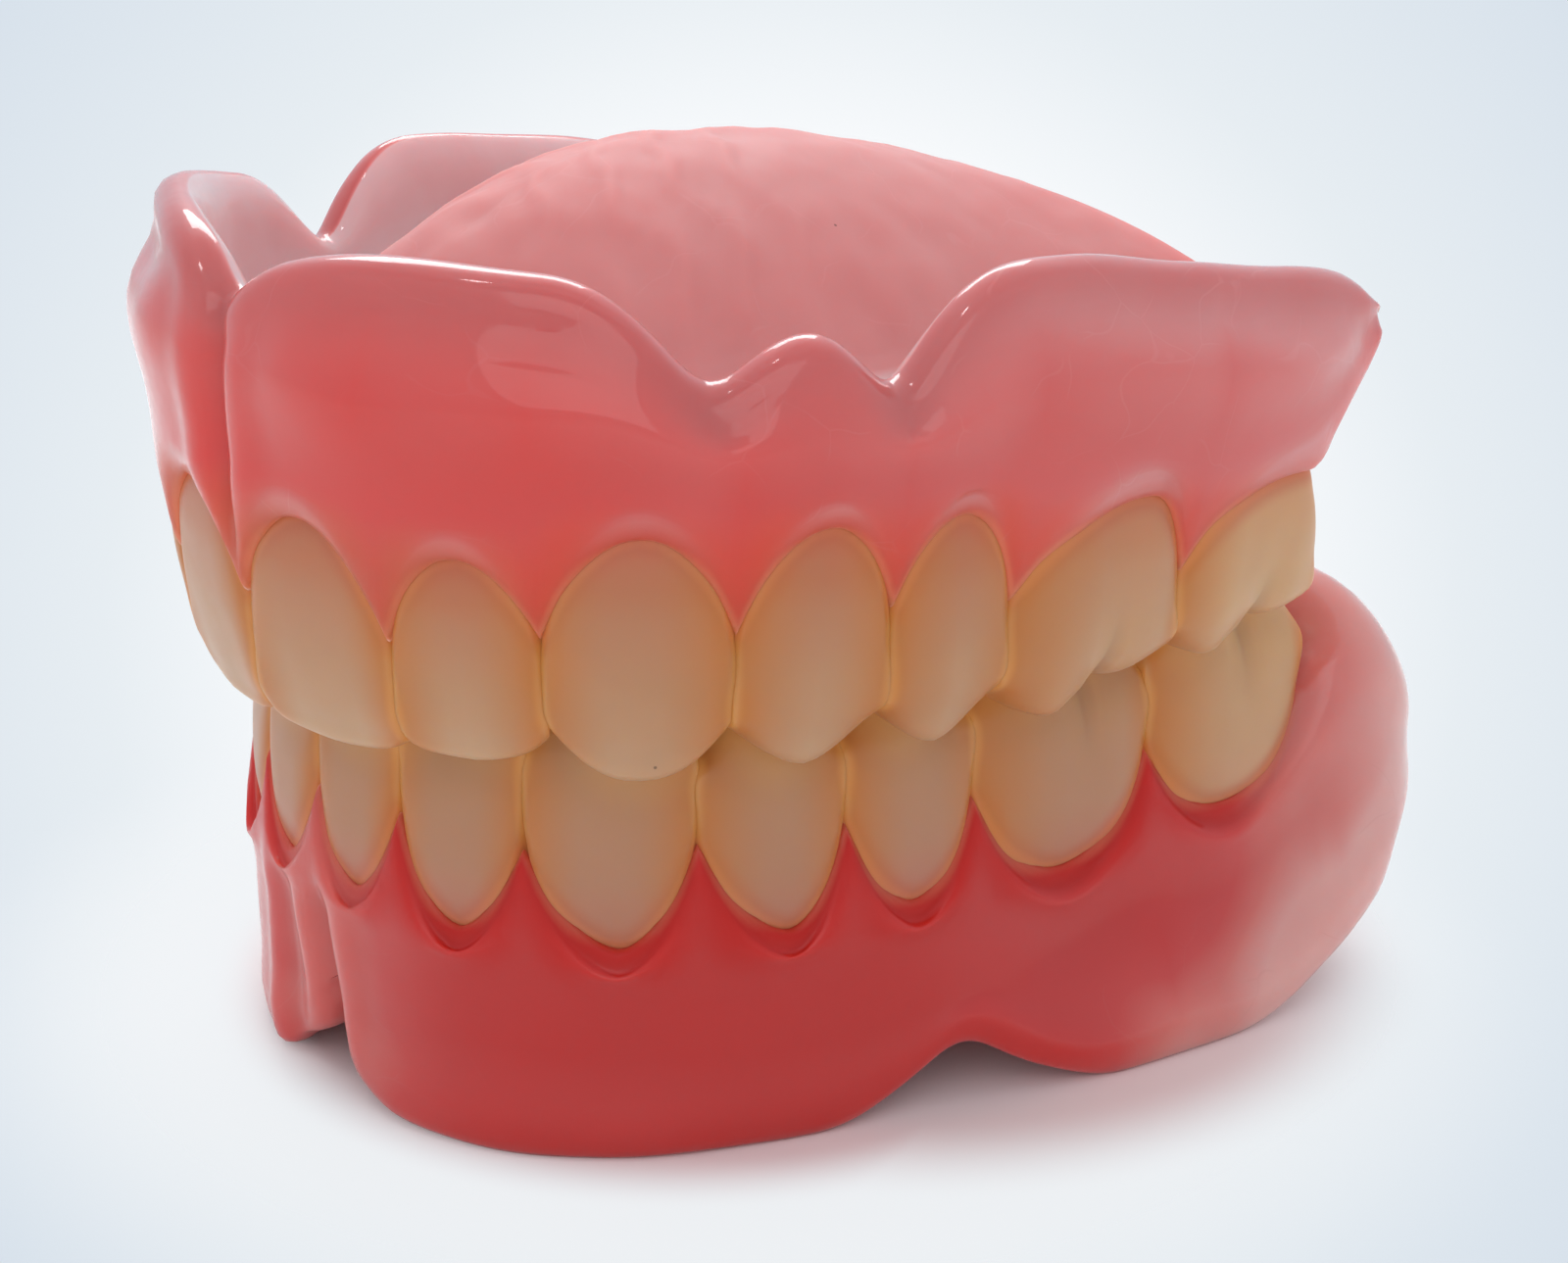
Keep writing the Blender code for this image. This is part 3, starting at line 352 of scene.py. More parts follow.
# One closed section per station; behind the last tooth it turns into the rounded pad
def lowerSections(distance):
    piece = lowerGum
    depth = depthAt(lowerArch, distance)
    arc, margin = marginLine(lowerArch, distance)
    rim = np.maximum(curveAt(piece["border"], distance), -bitingPlane)
    innerRim = np.maximum(curveAt(piece["innerBorder"], distance), -bitingPlane)
    channel = curveAt(piece["channel"], distance)
    out = curveAt(piece["borderOut"], distance)
    crest = curveAt(piece["padTop"], distance)
    last = lowerArch["contacts"][-1]
    behind = smoothStep(distance, last - 0.1, last + 1.4)
    closing = np.clip((distance - last) / (piece["end"] - last), 0.0, 1.0)
    half = piece["rimThickness"] / 2
    edge = mix(mix(margins["outAtPapilla"], lowerArch["outAtTooth"], arc), np.minimum(1.6, out + 0.6), behind)
    innerMargin = mix(margin + margins["lowerInnerRise"] * arc - 0.3, crest - 1.2, behind)
    floor = mix(margin - margins["floorDepth"], crest, behind)
    margin = mix(margin, crest - 1.4, behind)
    waist = mix(mix(piece["waistOut"], out, 0.25), mix(edge, out, 0.4), behind)
    innerOut = mix(-depth - piece["innerBorderIn"], -0.62 * depth, closing ** 2)
    centre = mix(mix(-0.5 * depth, out - half, 0.15), mix(out, innerOut, 0.5), behind)
    tissueOut = mix(np.minimum(out - piece["rimThickness"], centre + 0.32 * depth),
                    mix(centre, out, 0.35), behind)
    tissueIn = mix(np.maximum(innerOut + piece["rimThickness"], centre - 0.32 * depth),
                   mix(centre, innerOut, 0.35), behind)
    collarOut = edge + margins["collarOut"]
    collarTop = margin - margins["collarDepth"]
    outline = [
        (edge, margin), (collarOut, collarTop), (waist, mix(collarTop, rim, 0.34)),
        (mix(waist, out, 0.6), mix(collarTop, rim, 0.66)), (out, mix(margin, rim, 0.88)),
        (out - 0.35 * half, rim), (out - 1.3 * half, rim),
        (mix(out - 2 * half, tissueOut, 0.4), mix(rim, channel, 0.2)), (tissueOut, mix(rim, channel, 0.75)),
        (centre, channel), (tissueIn, mix(innerRim, channel, 0.75)),
        (mix(innerOut + 2 * half, tissueIn, 0.4), mix(innerRim, channel, 0.2)),
        (innerOut + 1.2 * half, innerRim), (innerOut + 0.3 * half, innerRim),
        (innerOut, mix(innerRim, innerMargin, 0.16)), (innerOut + 0.7, mix(innerRim, innerMargin, 0.6)),
        (mix(-depth - 1.2, innerOut, behind), innerMargin - margins["collarDepth"]),
        (mix(-depth - 0.7, innerOut + 0.5, behind), innerMargin),
        (mix(-0.8 * depth, innerOut + 1.4, behind), floor),
        (mix(-0.15 * depth, edge - 1.2, behind), floor),
    ]
    rounding = smoothStep(closing, piece["padRoundsFrom"], 1.0)
    path = []
    for (placeOut, height), degrees in zip(outline, piece["padAngles"]):
        ovalOut = mix(out, innerOut, 0.5) + (out - innerOut) / 2 * math.cos(math.radians(degrees))
        ovalHeight = mix(crest, rim, 0.5) + (crest - rim) / 2 * math.sin(math.radians(degrees))
        path.append(archPoints(lowerArch, distance, mix(placeOut, ovalOut, rounding),
                               mix(height, ovalHeight, rounding)))
    return smoothRun(np.stack(path, axis=1), piece["steps"], closed=True), rim


def storeValues(mesh, key, values):
    values = np.asarray(values, np.float32).ravel()
    mesh.attributes.new(key, "FLOAT", "POINT").data.foreach_set("value", values)


def gridMesh(name, points, closedAcross, attributes):
    rows, columns = points.shape[:2]
    index = np.arange(rows * columns).reshape(rows, columns)
    if closedAcross:
        index = np.concatenate([index, index[:, :1]], axis=1)
    quads = np.stack([index[:-1, :-1], index[:-1, 1:], index[1:, 1:], index[1:, :-1]], axis=-1)
    mesh = bpy.data.meshes.new(name)
    mesh.from_pydata(toFrame(points.reshape(-1, 3)).tolist(), [], quads.reshape(-1, 4).tolist())
    for key, values in attributes.items():
        storeValues(mesh, key, values)
    made = bpy.data.objects.new(name, mesh)
    bpy.context.collection.objects.link(made)
    bpy.ops.object.select_all(action="DESELECT")
    bpy.context.view_layer.objects.active = made
    made.select_set(True)
    bpy.ops.object.mode_set(mode="EDIT")
    bpy.ops.mesh.select_all(action="SELECT")
    bpy.ops.mesh.remove_doubles(threshold=2e-6)
    if not closedAcross:
        bpy.ops.mesh.select_all(action="DESELECT")
        bpy.ops.mesh.select_non_manifold(extend=False, use_wire=False, use_multi_face=False,
                                         use_non_contiguous=False, use_verts=False)
        bpy.ops.mesh.fill(use_beauty=True)
    bpy.ops.mesh.select_all(action="SELECT")
    bpy.ops.mesh.normals_make_consistent(inside=False)
    bpy.ops.object.mode_set(mode="OBJECT")
    bpy.ops.object.shade_smooth()
    made.select_set(False)
    return made


def unit(vectors):
    return vectors / np.maximum(np.linalg.norm(vectors, axis=-1, keepdims=True), 1e-9)


# Moves a skin along its normals; what lies on the midline stays there
def pushOut(points, amount):
    along = np.gradient(points, axis=0)
    across = np.gradient(points, axis=1)
    normal = unit(np.cross(along, across))
    seam = np.abs(points[..., 0]) < 1e-6
    normal[seam, 0] = 0.0
    return points + normal * amount[..., None]


def closeEnd(rows, reach, count=5):
    last = rows[-1]
    centre = last.mean(axis=0)
    heading = centre - rows[-3].mean(axis=0)
    heading = heading / np.linalg.norm(heading)
    added = []
    for step in range(1, count + 1):
        angle = math.pi / 2 * step / count
        added.append(centre + (last - centre) * math.cos(angle) + heading * reach * math.sin(angle))
    return np.concatenate([rows, np.stack(added)])


def roundEnd(rows, radius, count=5):
    last = rows[-1]
    before = np.concatenate([last[:1], last[:-1]])
    after = np.concatenate([last[1:], last[-1:]])
    inward = unit(np.cross(after - before, [0.0, 1.0, 0.0]))
    for _ in range(4):
        inward[1:-1] = (inward[:-2] + 2 * inward[1:-1] + inward[2:]) / 4
        inward = unit(inward)
    inward[[0, -1], 0] = 0.0
    backwards = np.array([0.0, 0.9, 0.0])
    added = []
    for step in range(1, count + 1):
        angle = math.pi / 2 * step / count
        added.append(last + radius * (inward * (1 - math.cos(angle)) + backwards * math.sin(angle)))
    return np.concatenate([rows, np.stack(added)])


def evenOut(grid, weight, rounds):
    for _ in range(rounds):
        middle = (grid[:-2] + grid[2:]) / 2
        grid[1:-1] += (middle - grid[1:-1]) * weight[1:-1, :, None]
    return grid


def extended(values, count):
    return np.concatenate([values, np.repeat(values[-1], count - len(values))])


def noiseOver(grid, scale):
    values = [noise.noise(Vector(point) * scale) for point in grid.reshape(-1, 3)]
    return np.array(values).reshape(grid.shape[:2])


def bead(measure, shape):
    height, middle, width = shape
    return height * hill(measure, middle, width)


def gumFields(arch, grid, run):
    columns = grid.shape[1]
    station = np.repeat(run[:, None], columns, axis=1)
    column = np.repeat(np.arange(columns)[None, :], len(run), axis=0)
    arc, margin = marginLine(arch, np.abs(run))
    return station, column, arc[:, None], margin[:, None]


def buildUpperGum():
    piece = upperGum
    distance = gumStations(upperArch, piece["end"])
    halves, rims = {}, {}
    for side, border in ((1, "leftBorder"), (-1, "rightBorder")):
        rows, rim = upperSections(distance, piece[border])
        rows = roundEnd(rows, piece["endRadius"])
        rows[..., 0] *= side
        halves[side], rims[side] = rows, extended(rim, len(rows))
    distance = extended(distance, len(rows))
    run = np.concatenate([-distance[:0:-1], distance])
    grid = np.concatenate([halves[-1][:0:-1], halves[1]])
    rim = np.concatenate([rims[-1][:0:-1], rims[1]])[:, None]
    station, column, arc, margin = gumFields(upperArch, grid, run)
    sideways = np.abs(station)
    aboveMargin = grid[..., 2] - margin
    belowRim = rim - grid[..., 2]
    outerFirst = sum(piece["underSteps"])
    topFirst = outerFirst + piece["edgeSteps"]
    outerLast = topFirst + sum(piece["topSteps"][:6])
    outer = (column >= outerFirst) & (column <= outerLast)
    vault = column >= topFirst + sum(piece["topSteps"][:11])
    away = smoothStep(np.abs(aboveMargin), 0.8, 3.2)
    grid = evenOut(grid, away * smoothStep(belowRim, 1.5, 4.5), 40)
    grid = evenOut(grid, away, 5)
    amount = outer * bead(aboveMargin, piece["marginBead"]) * arc
    amount += outer * (bead(belowRim, piece["rimBead"]) + bead(belowRim, piece["rimGroove"]))
    crease = outer * smoothStep(aboveMargin, 0.5, 3.0) * smoothStep(belowRim, -0.5, 1.0)
    amount += crease * bead(station, piece["crease"])
    amount += crease * bead(sideways, piece["creaseBank"]) * smoothStep(belowRim, 0.0, 3.0)
    # How pale the plastic looks, painted for light shining through the thin plastic: rims and back, less on
    # the far side, then the ends, and a painted light band along the collars over the necks
    thin = mix(0.36, 0.5, smoothStep(sideways, 14.0, 40.0)) * (1 - smoothStep(belowRim, 0.5, 8.5))
    thin += outer * 0.3 * smoothStep(sideways, 22.0, 42.0)
    thin *= mix(0.2, 1.0, smoothStep(station, -12.0, -6.0))
    thin += 0.22 * smoothStep(sideways, 47.0, 57.0) * smoothStep(belowRim, -1.0, 0.5)
    thin += outer * bead(aboveMargin, (0.6, 0.8, 0.95)) * np.clip(arc, 0.0, 1.0) ** 1.5
    thin = np.where(column > outerLast, piece["tissuePaleness"], np.minimum(thin, piece["palest"]))
    thin = np.where(vault, piece["vaultPaleness"], thin)
    # Folds across the front of the palate
    across, back = grid[..., 0], grid[..., 1]
    fan = (back + 0.4 * np.abs(across)) / 3.4
    fan = fan + 0.35 * np.sin(0.5 * across) + 0.15 * np.sin(1.3 * across + 1.0)
    folds = np.clip(np.cos(2 * math.pi * fan), 0.0, 1.0) ** 2
    front = smoothStep(back, -15.0, -11.0) * (1 - smoothStep(back, -3.0, 3.0)) * hill(across, 0.0, 11.0)
    amount += vault * piece["rugae"] * folds * front
    offMargin = smoothStep(np.abs(aboveMargin), 0.3, 2.5)
    amount += handWave["height"] * noiseOver(grid, handWave["scale"]) * offMargin
    facetHeight, facetScale = piece["facets"]
    amount += facetHeight * noiseOver(grid, facetScale) * vault
    amount *= 1 - smoothStep(sideways, 55.4, 56.5)
    grid = pushOut(grid, amount)
    return gridMesh("upperGum", grid, False, {
        "thin": np.clip(thin, 0.0, 1.0),
        "polished": 1 - smoothStep(column, outerLast + 2, outerLast + 6),
        "frontTeeth": 1 - smoothStep(sideways, 9.0, 17.0),
        # Where a painted shade darkens the rolled rim
        "rimShadeMask": outer * hill(belowRim, 0.4, 1.5),
    })


def buildLowerGum():
    piece = lowerGum
    distance = gumStations(lowerArch, piece["end"])
    rows, rim = lowerSections(distance)
    rows = closeEnd(rows, piece["endReach"])
    distance, rim = extended(distance, len(rows)), extended(rim, len(rows))
    run = np.concatenate([-distance[:0:-1], distance])
    grid = np.concatenate([(rows * [-1.0, 1.0, 1.0])[:0:-1], rows])
    grid[np.abs(run) < 1e-9, :, 0] = 0.0
    rim = np.concatenate([rim[:0:-1], rim])[:, None]
    station, column, arc, margin = gumFields(lowerArch, grid, run)
    sideways = np.abs(station)
    aboveMargin = margin - grid[..., 2]
    belowRim = grid[..., 2] - rim
    outer = column <= sum(piece["steps"][:6])
    last = lowerArch["contacts"][-1]
    away = smoothStep(np.abs(aboveMargin), 0.8, 3.2)
    away = np.maximum(away, smoothStep(sideways, last + 0.4, 55.0))
    grid = evenOut(grid, away * smoothStep(belowRim, 1.0, 4.0), 40)
    grid = evenOut(grid, away, 5)
    byTooth = outer * smoothStep(last + 0.5 - sideways, 0.0, 1.0) * arc
    amount = byTooth * (bead(aboveMargin, piece["moat"]) + bead(aboveMargin, piece["ledge"]))
    crease = outer * smoothStep(aboveMargin, 1.5, 4.0)
    for fold in piece["frontFolds"]:
        amount += crease * bead(station, fold)
    # How pale the plastic looks, painted for light shining through the thin plastic: the lobes' borders, the
    # pads and the thin front
    thin = smoothStep(sideways, 35.5, 44.0) * (1 - smoothStep(belowRim, 0.5, 7.8)) * 0.75
    thin += smoothStep(sideways, 45.0, 52.5) * 0.66 + smoothStep(sideways, 53.0, 60.0) * 0.34
    thin += (1 - smoothStep(sideways, 1.0, 9.0)) * 0.5
    offMargin = smoothStep(np.abs(aboveMargin), 0.3, 2.5)
    amount += handWave["height"] * noiseOver(grid, handWave["scale"]) * offMargin
    grid = pushOut(grid, -amount)
    grid[..., 2] = np.maximum(grid[..., 2], -bitingPlane)
    tissueFirst, tissueLast = sum(piece["steps"][:7]), sum(piece["steps"][:12])
    tissue = smoothStep(column, tissueFirst - 1, tissueFirst + 3)
    tissue *= 1 - smoothStep(column, tissueLast - 3, tissueLast + 1)
    nowhere = np.zeros(grid.shape[:2])
    return gridMesh("lowerGum", grid, True, {
        "thin": np.clip(thin, 0.0, 1.0), "polished": 1 - tissue, "frontTeeth": nowhere, "rimShadeMask": nowhere})


# Each crown ring: share of the height from neck to tip, half width share, millimetres out, depth share,
# share of the rise between cusps.
crowns = {
    "incisor": {
        "rings": [(-0.04, 0.37, 0.75, 0.95, 0.0), (0.12, 0.42, 1.15, 1.0, 0.0), (0.38, 0.475, 1.2, 0.82, 0.0),
                  (0.66, 0.5, 0.85, 0.5, 0.15), (0.9, 0.495, 0.3, 0.31, 0.6), (1.0, 0.455, -0.1, 0.19, 1.0)],
        "rise": 0.45, "corner": 0.62, "taper": 0.36, "centre": None,
    },
    "canine": {
        "rings": [(-0.04, 0.36, 0.8, 0.95, 0.0), (0.12, 0.42, 1.3, 1.0, 0.0), (0.38, 0.48, 1.5, 0.86, 0.0),
                  (0.64, 0.5, 1.2, 0.62, 0.2), (0.86, 0.48, 0.55, 0.38, 0.75), (1.0, 0.38, -0.1, 0.2, 1.0)],
        "rise": 1.9, "corner": 0.66, "taper": 0.34, "centre": None,
    },
    "premolar": {
        "rings": [(-0.04, 0.39, 0.7, 0.93, 0.0), (0.16, 0.44, 1.25, 1.0, 0.0), (0.48, 0.495, 1.2, 1.01, 0.0),
                  (0.8, 0.49, 0.55, 0.95, 0.2), (1.0, 0.38, -0.7, 0.83, 1.0), (0.95, 0.18, -2.5, 0.62, 0.45)],
        "rise": 1.5, "corner": 0.7, "taper": 0.16, "centre": 0.82,
    },
    "molar": {
        "rings": [(-0.04, 0.4, 0.6, 0.93, 0.0), (0.16, 0.45, 1.2, 1.0, 0.0), (0.48, 0.495, 1.15, 1.02, 0.05),
                  (0.8, 0.49, 0.5, 0.96, 0.25), (1.0, 0.4, -0.6, 0.85, 1.0), (0.94, 0.2, -2.8, 0.64, 0.4)],
        "rise": 1.3, "corner": 0.62, "taper": 0.1, "centre": 0.83,
    },
}
upperMolarCusps = [(-1.0, 1.1), (-0.75, 0.5), (-0.3, 0.0), (0.0, 0.75), (0.2, 1.5), (0.5, 1.25), (0.8, 1.35),
                   (1.0, 1.9)]
toothFit = {"gapBetween": -0.35, "rootLength": 1.8, "rootHalf": 0.27, "biteGap": 0.3}


def cuspRise(form, angle):
    if form == "premolar":
        return np.abs(np.cos(angle)) ** 1.1
    if form == "molar":
        return (1 + np.cos(4 * angle)) / 2 * (0.6 + 0.4 * np.cos(angle) ** 2)
    return np.abs(np.cos(angle)) ** (3.0 if form == "incisor" else 1.6)


def buildTooth(arch, number, side):
    form = arch["forms"][number]
    crown = crowns[form]
    neck, tip, depth = arch["necks"][number], arch["tips"][number], arch["depths"][number]
    upwards = arch["sign"]
    ends = archPoints(arch, arch["contacts"][number:number + 2], 0.0, 0.0)
    reach = ends[1] - ends[0]
    heading = math.atan2(reach[1], reach[0])
    middle = (ends[0] + ends[1]) / 2
    length = math.hypot(reach[0], reach[1]) - toothFit["gapBetween"]
    angle = 2 * math.pi * np.arange(toothSides) / toothSides
    cosine, sine = np.cos(angle), np.sin(angle)
    roundedSine = np.sign(sine) * np.abs(sine) ** crown["corner"]
    roundedCosine = np.sign(cosine) * np.abs(cosine) ** crown["corner"]
    rootHeight = neck + upwards * toothFit["rootLength"]
    rootOut = mix(-0.8, -0.75 * depth, (1 - sine) / 2)
    rootHalf = toothFit["rootHalf"] * length
    rootRing = np.stack([rootHalf * cosine, rootOut, np.full_like(angle, rootHeight)], axis=-1)
    rootCentre = rootRing * [0.0, 0.0, 1.0] + [0.0, rootOut.mean(), 0.0]
    rings = [rootCentre, rootRing]
    riseHeight = crown["rise"] * (arch["riseShare"] if form == "canine" else 1.0)
    tip = tip + arch["tipLift"]
    for share, half, outer, inner, rise in crown["rings"]:
        half *= 1 - arch["neckNarrowing"] * max(0.0, 1 - share / 0.5)
        sideways = roundedCosine * half * length * (1 - crown["taper"] * np.maximum(0.0, -sine))
        sideways = np.where(cosine > 0, sideways * arch["distalWidths"][number], sideways)
        waist = 0.0 if outer >= 0 else mix(outer, -inner * depth, 0.5)
        out = np.where(sine >= 0, mix(waist, outer, roundedSine), mix(waist, -inner * depth, -roundedSine))
        cusps = riseHeight * cuspRise(form, angle)
        if form == "molar" and upwards > 0:
            cusps = curveAt(upperMolarCusps, sideways / (half * length))
        distal = arch["distalRise"][number] * smoothStep(share, 0.55, 1.0) * np.maximum(0.0, cosine)
        height = mix(neck, tip, share) + upwards * rise * cusps + upwards * distal
        rings.append(np.stack([sideways, out, height], axis=-1))
    steps = [3, 3, 6, 9, 9, 8, 6]
    if crown["centre"] is None:
        flat = rings[-1].copy()
        middleOut = (flat[:, 1] + flat[(-np.arange(toothSides)) % toothSides, 1]) / 2
        softer = flat.copy()
        softer[:, 0] *= 0.96
        softer[:, 1] = mix(flat[:, 1], middleOut, 0.55)
        softer[:, 2] -= upwards * 0.1
        closed = flat.copy()
        closed[:, 0] *= 0.9
        closed[:, 1] = middleOut
        closed[:, 2] -= upwards * 0.12
        rings += [softer, closed]
        steps += [3, 3]
    else:
        pit = np.zeros_like(rings[-1])
        pit[:, 1] = -0.5 * depth
        pit[:, 2] = mix(neck, tip, crown["centre"])
        rings.append(pit)
        steps += [6]
    surface = smoothRun(np.stack(rings).reshape(1, len(rings), -1), steps)[0]
    surface = surface.reshape(len(surface), toothSides, 3)
    share = np.clip((surface[..., 2] - neck) / (tip - neck), -0.3, 1.1)
    place = surface[..., 0] / length
    front = smoothStep(np.broadcast_to(sine, share.shape), 0.0, 0.6)
    if form == "molar":
        groove = hill(place, 0.09, 0.05) * smoothStep(share, 0.4, 0.9) * front
        surface[..., 1] -= 0.75 * groove
        swells = bead(place, (0.14, -0.2, 0.12)) + bead(place, (0.14, 0.27, 0.1))
        surface[..., 1] += swells * smoothStep(share, 0.2, 0.7) * front
    elif form == "incisor":
        lobes = np.cos(place * 4 * math.pi)
        surface[..., 1] += 0.05 * lobes * smoothStep(share, 0.35, 0.9) * front
    else:
        surface[..., 1] += 0.12 * hill(place, -0.03, 0.14) * smoothStep(share, 0.1, 0.8) * front
    across = middle[0] + surface[..., 0] * math.cos(heading) + surface[..., 1] * math.sin(heading)
    back = middle[1] + surface[..., 0] * math.sin(heading) - surface[..., 1] * math.cos(heading)
    height = surface[..., 2]
    if form in ("premolar", "molar"):
        limit, outward = biteHeight(across, back)
        if upwards > 0:
            height = np.where(outward < biteWave["outerLimit"],
                              np.maximum(height, limit + toothFit["biteGap"] / 2), height)
        else:
            height = np.minimum(height, limit - toothFit["biteGap"] / 2)
    grid = np.stack([side * across, back, height], axis=-1)
    words = arch["names"][number].split("_")
    row = "upper" if upwards > 0 else "lower"
    name = row + ("Left" if side > 0 else "Right") + "".join(word.capitalize() for word in words)
    node = f"{row}_{'left' if side > 0 else 'right'}_{arch['names'][number]}"
    # Painted orange glow toward each contact with the next tooth, weaker on the back
    fromEdge = np.maximum(0.5 - np.abs(place), 0.0) * length
    reach = np.where(place < 0, arch["contactGlowMesial"][number], arch["contactGlowDistal"][number])
    amber = np.clip(1 - fromEdge / reach, 0.0, 1.0) ** (1.0 if form == "molar" else 1.3)
    amber *= mix(0.3, 1.0, front)
    pale = mix(0.75, arch["paleness"][number], front)
    made = gridMesh(name, grid, True, {"crownShare": share, "amber": amber, "pale": pale})
    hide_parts(node)
    return made


layArch(upperArch)
layArch(lowerArch)

upperPiece = buildUpperGum()
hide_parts("upper_base")
lowerPiece = buildLowerGum()
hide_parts("lower_base")
print("gums:", len(upperPiece.data.polygons), len(lowerPiece.data.polygons), "faces")

upperTeeth = [buildTooth(upperArch, number, side) for side in (1, -1) for number in range(7)]
lowerTeeth = [buildTooth(lowerArch, number, side) for side in (1, -1) for number in range(7)]
print("teeth:", len(upperTeeth) + len(lowerTeeth))


def treeOf(*objects):
    corners, faces = [], []
    for item in objects:
        start = len(corners)
        corners += [vertex.co.copy() for vertex in item.data.vertices]
        faces += [[start + corner for corner in face.vertices] for face in item.data.polygons]
    return BVHTree.FromPolygons(corners, faces)


def soften(item, values, rounds):
    ends = np.zeros(len(item.data.edges) * 2, int)
    item.data.edges.foreach_get("vertices", ends)
    first, second = ends.reshape(-1, 2).T
    count = np.bincount(ends, minlength=len(values)).astype(float)
    for _ in range(rounds):
        total = np.bincount(first, values[second], len(values))
        total += np.bincount(second, values[first], len(values))
        values = mix(values, total / np.maximum(count, 1), 0.7)
    return values


def distancesTo(tree, item, limit):
    found = [tree.find_nearest(vertex.co, limit * millimetre) for vertex in item.data.vertices]
    return np.array([near[3] / millimetre if near[0] else limit for near in found])


# The plastic's wall thickness and its distance to the teeth colour it; the paleness of thin walls is painted
# light shining through
def measureGum(item, teeth, wallLimit=12.0):
    own = treeOf(item)
    wall = []
    for vertex in item.data.vertices:
        inward = -vertex.normal
        hit = own.ray_cast(vertex.co + inward * 2e-5, inward, wallLimit * millimetre)
        wall.append(hit[3] / millimetre if hit[0] else wallLimit)
    storeValues(item.data, "wall", soften(item, np.array(wall), 30))
    storeValues(item.data, "toothNear", soften(item, distancesTo(treeOf(*teeth), item, 8.0), 2))


# Teeth take painted light and shade from the gum, from their neighbours and from the row they bite on
def measureTeeth(teeth, gum, opposed):
    gumTree = treeOf(gum)
    opposedTree = treeOf(*opposed)
    for item in teeth:
        others = treeOf(*[other for other in teeth if other is not item])
        for key, tree, limit in (("gumNear", gumTree, 4.0), ("neighbour", others, 3.0),
                                 ("opposite", opposedTree, 4.0)):
            storeValues(item.data, key, distancesTo(tree, item, limit))


measureGum(upperPiece, upperTeeth)
measureGum(lowerPiece, lowerTeeth)
measureTeeth(upperTeeth, upperPiece, lowerTeeth)
measureTeeth(lowerTeeth, lowerPiece, upperTeeth)
print("distances stored")


def newMaterial(name):
    made = bpy.data.materials.new(name)
    made.use_nodes = True
    nodes = made.node_tree.nodes
    return made, nodes, made.node_tree.links, nodes["Principled BSDF"]


def attributeNode(nodes, name):
    node = nodes.new("ShaderNodeAttribute")
    node.attribute_name = name
    return node.outputs["Fac"]


def rampNode(nodes, links, source, stops, low=0.0, high=1.0):
    span = nodes.new("ShaderNodeMapRange")
    span.inputs["From Min"].default_value = low
    span.inputs["From Max"].default_value = high
    links.new(source, span.inputs["Value"])
    ramp = nodes.new("ShaderNodeValToRGB")
    elements = ramp.color_ramp.elements
    while len(elements) < len(stops):
        elements.new(0.5)
    for element, (position, colour) in zip(elements, stops):
        element.position = position
        element.color = (*colour, 1.0)
    links.new(span.outputs["Result"], ramp.inputs["Fac"])
    return ramp.outputs["Color"]


def maskNode(nodes, links, source, low, high):
    span = nodes.new("ShaderNodeMapRange")
    span.interpolation_type = "SMOOTHSTEP"
    span.inputs["From Min"].default_value = low
    span.inputs["From Max"].default_value = high
    links.new(source, span.inputs["Value"])
    return span.outputs["Result"]


def mathNode(nodes, links, operation, first, second):
    node = nodes.new("ShaderNodeMath")
    node.operation = operation
    for socket, value in zip(node.inputs, (first, second)):
        if isinstance(value, (int, float)):
            socket.default_value = value
        else:
            links.new(value, socket)
    return node.outputs["Value"]


def mixColours(nodes, links, factor, first, second, blend="MIX"):
    node = nodes.new("ShaderNodeMix")
    node.data_type = "RGBA"
    node.blend_type = blend
    sockets = (node.inputs["Factor"], node.inputs["A"], node.inputs["B"])
    for socket, value in zip(sockets, (factor, first, second)):
        if isinstance(value, (int, float)):
            socket.default_value = value
        elif isinstance(value, tuple):
            socket.default_value = (*value, 1.0)
        else:
            links.new(value, socket)
    return next(output for output in node.outputs if output.type == "RGBA")


def bumpNode(nodes, links, height, strength, distance):
    bump = nodes.new("ShaderNodeBump")
    bump.inputs["Strength"].default_value = strength
    bump.inputs["Distance"].default_value = distance
    links.new(height, bump.inputs["Height"])
    return bump.outputs["Normal"]


def arrange(nodes, across=8):
    for number, node in enumerate(nodes):
        node.location = (240 * (number % across), -320 * (number // across))


